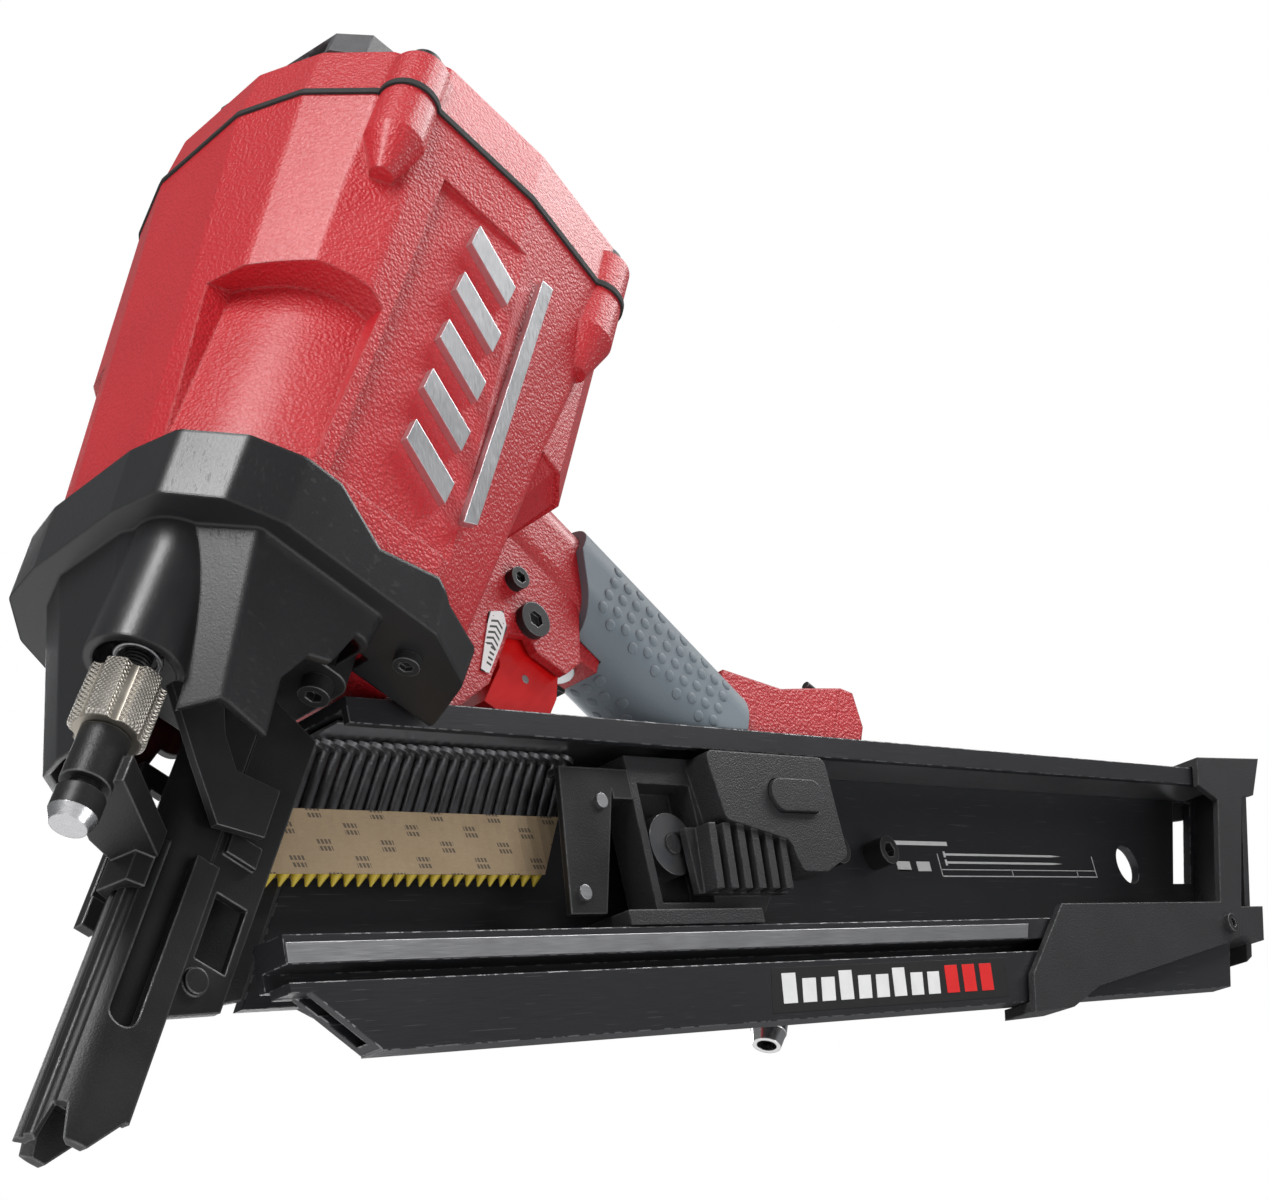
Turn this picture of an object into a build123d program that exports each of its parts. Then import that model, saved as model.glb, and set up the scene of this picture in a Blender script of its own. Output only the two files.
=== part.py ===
from build123d import *
import math
import os

os.makedirs("parts", exist_ok=True)

# Frame: +Z up along the drive axis, +X to the rear (handle side), +Y to the far side.
# The origin is the middle of the nose tip, where a nail leaves the tool. All sizes are in mm.

# Body casting
HOUSING_BOTTOM = 130.0    # lower face of the casting
HOUSING_TOP = 270.0       # joint face under the head cap
FLOOR_THICK = 8.0         # casting floor under the sleeve
CAST_WALL = 9.0           # wall between the outside and the air chambers
SIDE_TILT = 7.33          # degrees that the casting's flat sides lean out
COLLAR_Z = 205.0          # wall that seals the return chamber from the supply
COLLAR_THICK = 10.0
PANEL_R = 56.0            # cylindrical panels on the front corners
PANEL_TOP = 208.0
# Body section corners on the near side, front to rear, at the bottom and at the top
BODY_LOW = [(-50, -16), (-48, -31), (-37, -43), (-24, -48), (21, -48), (37, -40), (43, -22)]
BODY_HIGH = [(-68, -19), (-61, -40), (-48, -57), (-34, -66), (4, -65), (43, -57), (58, -36)]

# Head cap
GASKET_THICK = 2.0
CAP_RISE = [0.0, 19.0, 27.0, 32.0]      # heights of the cap sections over the gasket
CAP_SHRINK = [0.0, -0.5, -7.0, -20.0] # how far each section stands in from the body
CAP_BORE_R = 36.0
CAP_BORE_DEPTH = 25.0
CAP_BOLT_XY = [(-39.0, -60.0), (-39.0, 60.0), (42.0, -51.5), (42.0, 51.5)]
CAP_BOLT_R = 3.0
CAP_HEAD_R = 5.0
CAP_SEAT = 14.0           # bolt seat over the gasket
BOSS_R = 8.5
BOSS_LENGTH = 16.0

# Air motor
PISTON_R = 26.0
PISTON_THICK = 12.0
STROKE = 100.0
SLEEVE_WALL = 3.0
BUMPER_HEIGHT = 20.0
BLADE_HOLE_R = 9.0
BLADE_X = 6.4
BLADE_Y = 3.2
BLADE_TIP = 102.0         # rest height of the blade, just over the nail heads
RUNNING = 0.06            # radial running clearance
GAP = 0.4                 # clearance between pieces that move past each other
SEAL = 3.0

# Handle
HANDLE_X = 34.0           # root of the handle axis
HANDLE_Z = 227.5
HANDLE_DROP = 10.5        # degrees below +X
HANDLE_LENGTH = 160.0
CORE_W = 27.0
CORE_H = 34.0
CORE_WALL = 4.0
GRIP_SKIN = 3.0
GRIP_START = 50.0
GRIP_END = 141.0
END_CAP_X = 203.0         # joint face of the handle end cap
INLET_X = 231.0           # axis of the air inlet, which points down beside the magazine
INLET_Y = 27.0
INLET_R = 13.0
INLET_TOP = 236.0
INLET_LOW = 186.0
PLUG_HEX = 9.0
PLUG_TIP = 141.0

# Magazine, in its own axes: s along the slope, y across, h square to the slope
MAG_ANGLE = 30.5
MAG_START = 48.0
MAG_LENGTH = 600.0        # the drawn length, trimmed at the upright rear end
MAG_END_X = 447.0         # tool X of the rear end of the web
RAIL_END_X = 430.0        # the fin and the rail end earlier, inside the shoe
FLANGE_START = 80.0
NEAR_Y = -19.0
WEB_Y = 6.5
WEB_THICK = 3.5
FLANGE_TOP = 93.5
FLANGE_THICK = 3.0
LIP_BOTTOM = 86.3
RAIL_TOP = 31.8
RAIL_BOTTOM = 24.6
FIN_TOP = 20.3
FIN_BOTTOM = 3.0
FIN_WALL = 2.4
FIN_BACK = -11.0
SLOT_BOTTOM = 11.0        # floor of the slot that long nails hang in
SHOE_FRONT = 303.0        # tool X of the front of the end shoe
SHOE_SCREW = (424.0, 27.0)
RAIL_BACK = -7.0
HANG_HOLE_S = 497.0
HANG_HOLE_H = 60.0
HANG_HOLE_R = 8.0
MAG_BOLT_S = [297.0, 324.5]
MAG_BOLT_H = 61.5
MAG_BOLT_R = 3.0

# Nails
NAIL_LENGTH = 44.0
NAIL_R = 1.65
NAIL_HEAD_R = 3.4
NAIL_HEAD_THICK = 1.6
NAIL_PITCH = 4.2          # along the magazine
NAIL_COUNT = 28
TIP_H = 49.1              # height of the nail tips in magazine axes
FIRST_NAIL_X = 9.0
TAPE_LOW = 51.8
TAPE_HIGH = 69.0
TAPE_THICK = 0.3

# Nose and contact foot
NOSE_FRONT = 8.0          # rear face of the barrel
NOSE_R = 6.6              # half width of the barrel, round at the front
NOSE_TIP = 0.0
NOSE_FLANGE = 12.0
DRIVE_R = 4.2             # drive channel that a nail head passes
EXIT_LENGTH = 40.0        # closely bored part of the channel, up from the tip
DRIVE_RELIEF = 0.5        # radial relief of the channel over that
FOOT_TRAVEL = 12.0
FOOT_WALL = 2.8
FOOT_TIP = -12.0
FOOT_TOP = 64.0
STUD_X = -34.4
STUD_Y = -21.0
STUD_R = 3.5
WHEEL_R = 9.2
WHEEL_LOW = 70.0
WHEEL_HIGH = 86.0
POCKET_R = 9.9            # room round the wheel, which rises with the foot
GUIDE_LOW = 106.0
BOSS_LOW = 56.0
NOSE_BOLT_XY = [(-19.0, -20.0), (-19.0, 20.0), (12.0, -21.0), (12.0, 21.0)]
NOSE_BOLT_R = 2.5

# Lower shroud
SKIRT_TOP = 147.0
SKIRT_LIP = 130.0
SKIRT_THICK = 3.2
CONE_LOW = 76.0
SHROUD_SCREW_XY = [(-24.0, -37.5), (-24.0, 37.5), (25.0, -38.0), (25.0, 38.0)]
SHROUD_SCREW_R = 1.8

# Trigger group
PIVOT_X = 75.0
PIVOT_Z = 188.5
PIN_R = 3.0
ROCKER_XZ = (81.7, 174.0)
ROCKER_PIN_R = 1.3
LUG_Y = 9.0
LUG_THICK = 3.2
TRIGGER_Y = 7.6
TRIGGER_WALL = 2.0
STEM_X = 95.0
STEM_R = 2.5
VALVE_R = 7.0
VALVE_LOW = 191.0
VALVE_HIGH = 213.0
STEM_LOW = 184.9
SIDE_SCREW_X = 66.0
SIDE_SCREW_Z = 198.0

# Feeder, in magazine axes
CARRIAGE_START = 186.0
CARRIAGE_END = 268.0
CARRIAGE_NEAR = -14.0
CARRIAGE_BACK = -3.0
CARRIAGE_TOP = 84.4
KNOB_NEAR = -23.0

SLEEVE_LOW = HOUSING_BOTTOM + FLOOR_THICK
SLEEVE_OUT = PISTON_R + SLEEVE_WALL
BUMPER_TOP = SLEEVE_LOW + BUMPER_HEIGHT
PISTON_LOW = BUMPER_TOP + STROKE
SLEEVE_HIGH = PISTON_LOW + PISTON_THICK + 3.0
CAP_LOW = HOUSING_TOP + GASKET_THICK
CAP_TOP = CAP_LOW + CAP_RISE[-1]
SLOPE = math.radians(MAG_ANGLE)

# Sizes that follow from the ones above
FIELD_DEPTH = 1.6
LUG_TOP = [(76, 184), (80, 181), (92, 181), (96, 188), (92, 202), (80, 230), (44, 234)]
END_SCREW_YZ = [(-9.0, 247.0), (9.0, 247.0)]
DEFLECTOR_LOW = CAP_TOP + GAP
DEFLECTOR_H = 13.0
DEFLECTOR_TURN = 7.0       # the hood is turned a little to the near side
HOOD_HIGH = [(-49, -14), (-44, -28), (-29, -46), (12, -46)]   # near half of the hood at the skirt
HOOD_LOW = [(-31, -9), (-28, -20), (-15, -34), (8, -34)]      # and at its lower rim
FOOT_OUT_R = NOSE_R + GAP + FOOT_WALL
GUIDE_R = 7.0
SHOE_NEAR = NEAR_Y - 3.4
SHOE_FAR = WEB_Y + WEB_THICK + 2.8
PUSH_X = FIRST_NAIL_X + (NAIL_COUNT - 1) * NAIL_PITCH * math.cos(SLOPE) + NAIL_R + GAP


def box(x0, x1, y0, y1, z0, z1):
    return Pos((x0 + x1) / 2, (y0 + y1) / 2, (z0 + z1) / 2) * Box(x1 - x0, y1 - y0, z1 - z0)


def rod_z(x, y, z0, z1, r):
    return Pos(x, y, (z0 + z1) / 2) * Cylinder(r, z1 - z0)


def rod_y(x, z, y0, y1, r):
    return Pos(x, (y0 + y1) / 2, z) * Rot(90, 0, 0) * Cylinder(r, y1 - y0)


def ring_z(x, y, z0, z1, r_in, r_out):
    return rod_z(x, y, z0, z1, r_out) - rod_z(x, y, z0 - 1, z1 + 1, r_in)


def prism_y(points, y0, y1):
    """A plate whose outline lies in XZ, between two Y planes."""
    face = make_face(Polyline(*[(x, y0, z) for x, z in points], close=True))
    return extrude(face, amount=y1 - y0, dir=(0, 1, 0))


def prism_z(points, z0, z1):
    face = make_face(Polyline(*[(x, y, z0) for x, y in points], close=True))
    return extrude(face, amount=z1 - z0, dir=(0, 0, 1))


def round_front(r, rear, z0, z1):
    """A bar with a half round front and a flat rear, from z0 to z1."""
    arc = ThreePointArc((0, -r, z0), (-r, 0, z0), (0, r, z0))
    sides = Polyline((0, r, z0), (rear, r, z0), (rear, -r, z0), (0, -r, z0))
    return extrude(make_face([arc, sides]), amount=z1 - z0, dir=(0, 0, 1))


def spring_z(x, y, z0, z1, r, wire, turns):
    """A coil spring drawn as closed turns joined by a tie at the back."""
    pitch = (z1 - z0 - 2 * wire) / (turns - 1)
    body = rod_z(x + r, y, z0 + wire, z1 - wire, wire * 0.6)
    for k in range(turns):
        body = body + Pos(x, y, z0 + wire + pitch * k) * Torus(r, wire)
    return body


def screw(head_r, head_h, shank_r, shank_l):
    """Socket head screw with its seat at z=0 and its head above."""
    socket = extrude(Pos(0, 0, head_h * 0.4) * RegularPolygon(head_r * 0.55, 6), amount=head_h)
    return rod_z(0, 0, 0, head_h, head_r) + rod_z(0, 0, -shank_l, 0.01, shank_r) - socket


def on_mag(shape):
    """Places a shape drawn in magazine axes into the tool frame."""
    return Rot(0, -MAG_ANGLE, 0) * shape


def mag_z(x, h):
    """Height of the magazine line h over the tool's X position x."""
    return h / math.cos(SLOPE) + x * math.tan(SLOPE)


def above_mag(x0, x1, h, y0, y1):
    """A block that fills the space over a magazine line, used to trim the handle."""
    top = 400.0
    return prism_y([(x0, mag_z(x0, h)), (x1, mag_z(x1, h)), (x1, top), (x0, top)], y0, y1)


def save(shape, name):
    if isinstance(shape, list):
        shape = Compound(children=shape)
    export_step(shape, "parts/" + name + ".step")


def body_face(z, grow, round_r):
    """Section of the body at height z, grown outward, with round corners."""
    t = (z - HOUSING_BOTTOM) / (HOUSING_TOP - HOUSING_BOTTOM)
    half = []
    for (x0, y0), (x1, y1) in zip(BODY_LOW, BODY_HIGH):
        x = x0 + (x1 - x0) * min(t, 1)
        y = y0 + (y1 - y0) * min(t, 1)
        k = 1 + grow / math.hypot(x, y)
        half.append((x * k, y * k, z))
    far = [(x, -y, z) for x, y, z in reversed(half)]
    return fillet(make_face(Polyline(*half, *far, close=True)).vertices(), round_r)


def body_loft(z0, z1, grow0, grow1, round_r=5.0):
    return loft([body_face(z0, grow0, round_r), body_face(z1, grow1, round_r)], ruled=True)


def handle_bar(width, height, corner, start, end):
    """A rounded bar along the handle axis."""
    face = fillet(Rectangle(height, width).vertices(), corner)
    bar = Pos(0, 0, start) * extrude(face, amount=end - start)
    return Pos(HANDLE_X, 0, HANDLE_Z) * Rot(0, 90 + HANDLE_DROP, 0) * bar


def handle_z(x):
    return HANDLE_Z - (x - HANDLE_X) * math.tan(math.radians(HANDLE_DROP))


def magazine_room():
    """The space under the body and handle that the magazine passes through."""
    half = 21.5
    x0, x1 = 19.0, 260.0
    top = FLANGE_TOP + 1.2
    return prism_y([(x0, 60), (x1, 60), (x1, mag_z(x1, top)), (x0, mag_z(x0, top))], -half,
            WEB_Y + WEB_THICK + 0.5)


def on_side(shape, side):
    """Places a shape, drawn in XZ with +Y outward, on a sloped side of the casting."""
    tilted = Pos(0, 48, HOUSING_BOTTOM) * Rot(-SIDE_TILT, 0, 0) * shape
    return tilted if side > 0 else mirror(tilted, Plane.XZ)


def rear_bulge():
    """Swelling at the rear of the body, where the air from the handle comes in."""
    plan = [(30, -52), (49, -47), (58, -37), (59, 0), (58, 37), (49, 47), (30, 52)]
    low = [(x * 0.78, y * 0.8, 186) for x, y in plan]
    mid = [(x * 0.97, y * 0.97, 208) for x, y in plan]
    faces = [make_face(Polyline(*low, close=True)), make_face(Polyline(*mid, close=True))]
    return loft(faces, ruled=True) + prism_z(plan, 208, HOUSING_TOP)


def handle_casting():
    """Hollow handle core, its rear flare and the lugs that carry the trigger."""
    core = handle_bar(CORE_W, CORE_H, 12, 0, HANDLE_LENGTH)
    flare = prism_y([(150, handle_z(150) - 18), (150, handle_z(150) + 17), (176, 233), (190, 243),
            (END_CAP_X, 252),
                     (END_CAP_X, 200), (180, 196)], -CORE_W / 2, CORE_W / 2)
    handle = (core + flare) - box(END_CAP_X, 400, -60, 60, 100, 400)
    near = [(44, 140), (58, 144), (67, 160), (69, 180)] + LUG_TOP
    far = [(44, 176), (62, 176)] + LUG_TOP
    handle = handle + prism_y(near, -LUG_Y - LUG_THICK, -LUG_Y) + prism_y(far, LUG_Y, LUG_Y + LUG_THICK)
    handle = handle + box(STEM_X - 9, STEM_X + 10, -LUG_Y, LUG_Y, VALVE_LOW + 1, 216)
    return handle + prism_y([(36, 168), (48, 172), (56, 222), (36, 222)], -LUG_Y - LUG_THICK,
            LUG_Y + LUG_THICK)


def main_housing():
    """Body casting with the hollow handle and the trigger lugs in one piece."""
    shell = body_loft(HOUSING_BOTTOM, HOUSING_TOP, 0, 0)
    for x, y in CAP_BOLT_XY:
        low = HOUSING_TOP - BOSS_LENGTH
        shell = shell + rod_z(x, y, low, HOUSING_TOP, BOSS_R)
        shell = shell + Pos(x, y, low - 7) * Cone(BOSS_R * 0.4, BOSS_R, 14)
    for side in (-1, 1):
        corner = prism_z([(-80, side * 24), (-24, side * 24), (-24, side * 80), (-80, side * 80)],
                         HOUSING_BOTTOM - 1, PANEL_TOP + 6)
        arch = rod_y(-42, PANEL_TOP - 31, -90, 90, 31) + box(-90, 0, -90, 90, 60, PANEL_TOP - 31)
        shell = shell - ((corner & arch) - rod_z(0, 0, 60, 300, PANEL_R))
        field = prism_y([(-19, 21), (25, 21), (28, 124), (-23, 124)], -FIELD_DEPTH, 4)
        shell = shell - on_side(field, side)
    shell = shell + rear_bulge()
    handle = handle_casting()
    body = shell + handle - magazine_room()
    body = body - rod_z(0, 0, SLEEVE_LOW, HOUSING_TOP + 1, SLEEVE_OUT)
    room = body_loft(SLEEVE_LOW + 6, HOUSING_TOP + 1, -CAST_WALL, -CAST_WALL)
    body = body - (room & rod_z(0, 0, SLEEVE_LOW, COLLAR_Z - COLLAR_THICK / 2, PANEL_R - CAST_WALL))
    body = body - (room & box(-90, 90, -90, 90, COLLAR_Z + COLLAR_THICK / 2, HOUSING_TOP + 1))
    body = body - rod_z(0, 0, COLLAR_Z - SEAL / 2, COLLAR_Z + SEAL / 2, SLEEVE_OUT + SEAL)
    body = body - rod_z(0, 0, HOUSING_BOTTOM - 1, SLEEVE_LOW + 1, BLADE_HOLE_R)
    hollow = handle_bar(CORE_W - 2 * CORE_WALL, CORE_H - 2 * CORE_WALL, 8, -4, 190)
    hollow = hollow & above_mag(0, 230, FLANGE_TOP + 5, -60, 60)
    hollow = hollow - box(STEM_X - 11, STEM_X + 11, -20, 20, 100, 219)
    port = box(180, END_CAP_X + 1, -10, 10, 228, 243) & above_mag(0, 230, FLANGE_TOP + 5, -60, 60)
    body = body - hollow - port
    body = body - rod_y(PIVOT_X, PIVOT_Z, -30, 30, PIN_R)
    body = body - rod_z(STEM_X, 0, VALVE_LOW - 1, VALVE_HIGH, VALVE_R)
    body = body - rod_z(STEM_X, 0, VALVE_HIGH - 1, 222, VALVE_R - 3)
    body = body - rod_y(SIDE_SCREW_X, SIDE_SCREW_Z, -LUG_Y - LUG_THICK - 1, -LUG_Y + 1, 2.0)
    for x, y in CAP_BOLT_XY:
        body = body - rod_z(x, y, HOUSING_TOP - 24, HOUSING_TOP + 1, CAP_BOLT_R)
    for x, y in NOSE_BOLT_XY:
        body = body - rod_z(x, y, HOUSING_BOTTOM - 1, HOUSING_BOTTOM + 9, NOSE_BOLT_R)
    for x, y in SHROUD_SCREW_XY:
        body = body - rod_z(x, y, HOUSING_BOTTOM - 1, HOUSING_BOTTOM + 9, SHROUD_SCREW_R)
    body = body - rod_z(STUD_X, STUD_Y, HOUSING_BOTTOM - 1, HOUSING_BOTTOM + 6, STUD_R + 0.6)
    for y, z in END_SCREW_YZ:
        body = body - Pos(END_CAP_X - 6, y, z) * Rot(0, 90, 0) * Cylinder(1.5, 14)
    return body


def cylinder_cap():
    cap = body_loft(CAP_LOW + CAP_RISE[0], CAP_LOW + CAP_RISE[1], CAP_SHRINK[0], CAP_SHRINK[1])
    cap = cap + body_loft(CAP_LOW + CAP_RISE[1], CAP_LOW + CAP_RISE[2], CAP_SHRINK[1], CAP_SHRINK[2])
    cap = cap + body_loft(CAP_LOW + CAP_RISE[2], CAP_LOW + CAP_RISE[3], CAP_SHRINK[2], CAP_SHRINK[3])
    for x, y in CAP_BOLT_XY:
        cap = cap + rod_z(x, y, CAP_LOW, CAP_LOW + CAP_SEAT, BOSS_R)
    for x, y in CAP_BOLT_XY:
        cap = cap - rod_z(x, y, CAP_LOW + CAP_SEAT, CAP_TOP + 9, CAP_HEAD_R + 0.8)
        cap = cap - rod_z(x, y, CAP_LOW - 1, CAP_LOW + CAP_SEAT + 1, CAP_BOLT_R + 0.3)
    cap = cap - rod_z(0, 0, CAP_LOW - 1, CAP_LOW + CAP_BORE_DEPTH, CAP_BORE_R)
    # exhaust ports and the deflector's screw hole
    for k in range(6):
        a = math.radians(60 * k)
        cap = cap - rod_z(15 * math.cos(a), 15 * math.sin(a), CAP_LOW, CAP_TOP + 1, 4.5)
    return cap - rod_z(0, 0, CAP_TOP - 5, CAP_TOP + 1, 2.5)


def cap_gasket():
    sheet = body_loft(HOUSING_TOP, CAP_LOW, 0.7, 0.7)
    for x, y in CAP_BOLT_XY:
        sheet = sheet + rod_z(x, y, HOUSING_TOP, CAP_LOW, BOSS_R + 0.7)
    for x, y in CAP_BOLT_XY:
        sheet = sheet - rod_z(x, y, HOUSING_TOP - 1, CAP_LOW + 1, CAP_BOLT_R + 0.3)
    return sheet - body_loft(HOUSING_TOP - 1, CAP_LOW + 1, 0.5 - CAST_WALL, 0.5 - CAST_WALL)


def cap_bolts():
    bolt = screw(CAP_HEAD_R, 6.0, CAP_BOLT_R, CAP_SEAT + GASKET_THICK + 22)
    return [Pos(x, y, CAP_LOW + CAP_SEAT) * bolt for x, y in CAP_BOLT_XY]


def exhaust_deflector():
    """Turnable hood over the exhaust ports, open at the front between ribs."""
    low, high = DEFLECTOR_LOW, DEFLECTOR_LOW + DEFLECTOR_H
    plan = [(-60, -25), (-53, -33), (10, -33), (26, -19), (26, 19), (10, 33), (-53, 33), (-60, 25)]
    hood = prism_z(plan, low, high)
    hood = hood - prism_y([(-62, high - 5), (-40, high + 0.5), (-62, high + 1)], -40, 40)
    inner = [(-61, -22), (-51, -30), (9, -30), (23, -18), (23, 18), (9, 30), (-51, 30), (-61, 22)]
    hood = hood - prism_z(inner, low - 1, high - 4.6)
    for y in (-11, 11):
        hood = hood + box(-59, -34, y - 1.5, y + 1.5, low, high - 4)
    hood = hood + box(-59.6, -54, -25, 25, low, low + 2.0) + rod_z(0, 0, low, high - 4, 8)
    hood = hood - rod_z(0, 0, low - 1, high + 1, 2.9) - rod_z(0, 0, high - 4, high + 1, 6.4)
    return Rot(0, 0, DEFLECTOR_TURN) * hood


def deflector_screw():
    return Pos(0, 0, DEFLECTOR_LOW + DEFLECTOR_H - 3.7) * screw(5.5, 3.2, 2.5, DEFLECTOR_H)


def head_valve():
    low = SLEEVE_HIGH + 0.3
    ring = ring_z(0, 0, CAP_LOW + 1, CAP_LOW + 11, PISTON_R - 6, CAP_BORE_R - RUNNING)
    return ring + ring_z(0, 0, low, CAP_LOW + 2, PISTON_R - 3, SLEEVE_OUT + 2)


def head_valve_spring():
    return spring_z(0, 0, CAP_LOW + 11, CAP_LOW + CAP_BORE_DEPTH, 30, 1.2, 4)


def cylinder_sleeve():
    tube = ring_z(0, 0, SLEEVE_LOW, SLEEVE_HIGH, PISTON_R, SLEEVE_OUT)
    for k in range(8):
        drill = Rot(0, 0, 45 * k) * Pos(SLEEVE_OUT, 0, BUMPER_TOP + 10) * Rot(0, 90, 0) * Cylinder(2.2, 12)
        tube = tube - drill
    return tube


def piston():
    disc = rod_z(0, 0, PISTON_LOW, PISTON_LOW + PISTON_THICK, PISTON_R - RUNNING)
    disc = disc - rod_z(0, 0, PISTON_LOW + 5, PISTON_LOW + PISTON_THICK + 1, PISTON_R - 8)
    disc = disc - ring_z(0, 0, PISTON_LOW + 4.5, PISTON_LOW + 7.5, PISTON_R - 2.5, PISTON_R + 1)
    return disc


def piston_ring():
    return ring_z(0, 0, PISTON_LOW + 4.5, PISTON_LOW + 7.5, PISTON_R - 2.5, PISTON_R - 0.02)


def driver_blade():
    return box(-BLADE_X / 2, BLADE_X / 2, -BLADE_Y / 2, BLADE_Y / 2, BLADE_TIP, PISTON_LOW)


def nose_body():
    """Barrel with the drive channel, its flange and the far feed cheek."""
    flange = box(-26, 18.6, -28, 28, HOUSING_BOTTOM - NOSE_FLANGE, HOUSING_BOTTOM)
    flange = fillet(flange.edges().filter_by(Axis.Z), 6)
    barrel = round_front(NOSE_R, NOSE_FRONT, NOSE_TIP, HOUSING_BOTTOM - NOSE_FLANGE + 1)
    cheek = prism_y([(0, 26), (NOSE_FRONT, 26), (33, mag_z(33, 22)), (33, 112), (0, 112)], 4.2, NOSE_R)
    nose = flange + barrel + cheek
    nose = nose - rod_z(0, 0, NOSE_TIP - 1, EXIT_LENGTH + 0.1, DRIVE_R)
    nose = nose - rod_z(0, 0, EXIT_LENGTH, HOUSING_BOTTOM + 1, DRIVE_R + DRIVE_RELIEF)
    nose = nose - box(0, 40, -4.0, 4.0, 46, HOUSING_BOTTOM - NOSE_FLANGE)
    for x, y in NOSE_BOLT_XY:
        nose = nose - rod_z(x, y, HOUSING_BOTTOM - NOSE_FLANGE - 1, HOUSING_BOTTOM + 1, NOSE_BOLT_R + 0.3)
    return nose


def nose_bolts():
    bolt = Rot(180, 0, 0) * screw(4.2, 4.6, NOSE_BOLT_R, NOSE_FLANGE + 8)
    return [Pos(x, y, HOUSING_BOTTOM - NOSE_FLANGE) * bolt for x, y in NOSE_BOLT_XY]


def front_plate():
    """Near feed cheek with its gate window and screw boss."""
    low, high = 24.0, HOUSING_BOTTOM - NOSE_FLANGE - 0.5
    right = 23.0
    plate = prism_y([(NOSE_FRONT + 0.2, low), (right, low + 9), (right + 1.5, high - 4),
            (NOSE_FRONT + 0.2, high)],
                    -NOSE_R, -4.0)
    plate = plate - box(NOSE_FRONT + 4, right - 2, -20, 0, 42, 60)
    plate = plate + box(NOSE_FRONT + 2, NOSE_FRONT + 11, -NOSE_R - 1.6, -NOSE_R + 0.2, 70, 76)
    return plate + rod_y(NOSE_FRONT + 6, 36.5, -NOSE_R - 1.4, -NOSE_R + 0.1, 3.2)


def nose_latch():
    """Lever that holds the near cheek shut."""
    y1 = -FOOT_OUT_R - GAP
    lever = prism_y([(-21, 99), (-15, 106), (-8, 107), (-3, 95), (3, 88), (16, 90), (16, 76), (3, 72),
            (-8, 84)],
                    y1 - 2.6, y1)
    return lever + box(10, 15, y1 - 0.5, -NOSE_R, 78, 88)


def hood_face(points, z, grow):
    half = [(x * (1 + grow / 45), y * (1 + grow / 45), z) for x, y in points]
    far = [(x, -y, z) for x, y, z in reversed(half)]
    return fillet(make_face(Polyline(*half, *far, close=True)).vertices(), 3.5)


def shroud_outer(grow):
    """Front hood that runs from the skirt down to the nose."""
    return loft([hood_face(HOOD_LOW, CONE_LOW - 0.1, grow), hood_face(HOOD_HIGH, SKIRT_LIP, grow)],
            ruled=True)


def lower_shroud():
    """Black plastic hood: a skirt round the casting and a front cone over the nose root."""
    floor = SKIRT_LIP - 3
    skirt = body_loft(floor, SKIRT_TOP, SKIRT_THICK + 1.2, SKIRT_THICK + 0.3)
    skirt = skirt - body_loft(floor - 1, SKIRT_TOP + 1, 0.3, 0.3)
    for side in (-1, 1):
        step = prism_y([(-16, SKIRT_TOP + 9), (-16, SKIRT_TOP), (0, SKIRT_TOP - 9), (18, SKIRT_TOP - 5),
                        (24, SKIRT_TOP - 9), (60, SKIRT_TOP - 9), (60, SKIRT_TOP + 9)],
                       min(side * 30, side * 80), max(side * 30, side * 80))
        skirt = skirt - step
    inside = shroud_outer(-2.6)
    web = body_loft(floor, SKIRT_LIP, 2.0, 2.0) - inside
    for x, y in SHROUD_SCREW_XY:
        web = web + box(x - 6, x + 6, min(y * 0.84, y * 1.16), max(y * 0.84, y * 1.16), floor, SKIRT_LIP)
    cone = shroud_outer(0) - inside
    bump = ring_z(STUD_X, STUD_Y, WHEEL_HIGH + 4, floor, POCKET_R, POCKET_R + 2.4) - inside
    bump = bump + Pos(STUD_X, STUD_Y, floor - 8) * (Cone(POCKET_R + 2.4, 6, 16) - Cone(POCKET_R, 4,
            17)) - inside
    cone = cone - prism_y([(-4, 60), (-4, 84), (-7, 98), (-3, 107), (3, 109), (6, 119), (30, 119), (30,
            60)], -90, 90)
    cone = cone - prism_y([(-34, 60), (-34, 76), (-18, 86), (-3, 84), (-3, 60)], -90, 90)
    shroud = skirt + web + cone + (bump & body_loft(60, floor + 1, 4, 4))
    shroud = shroud - rod_z(STUD_X, STUD_Y, 50, WHEEL_HIGH + 4, POCKET_R + 2.4)
    shroud = shroud - rod_z(STUD_X, STUD_Y, 50, WHEEL_HIGH + FOOT_TRAVEL + 1, POCKET_R)
    shroud = shroud - rod_z(STUD_X, STUD_Y, 90, HOUSING_BOTTOM + 1, GUIDE_R + 0.4)
    shroud = shroud - box(12, 100, -21.5, 21.5, 60, SKIRT_TOP + 12)
    for x, y in SHROUD_SCREW_XY:
        shroud = shroud - rod_z(x, y, floor - 1, SKIRT_LIP + 1, SHROUD_SCREW_R + 0.3)
    return shroud - box(-27, 19.2, -29, 29, HOUSING_BOTTOM - NOSE_FLANGE - 0.4, HOUSING_BOTTOM + 1)


def shroud_screws():
    one = Rot(180, 0, 0) * screw(3.6, 2.6, SHROUD_SCREW_R, 3 + 8)
    return [Pos(x, y, SKIRT_LIP - 3) * one for x, y in SHROUD_SCREW_XY]


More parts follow.
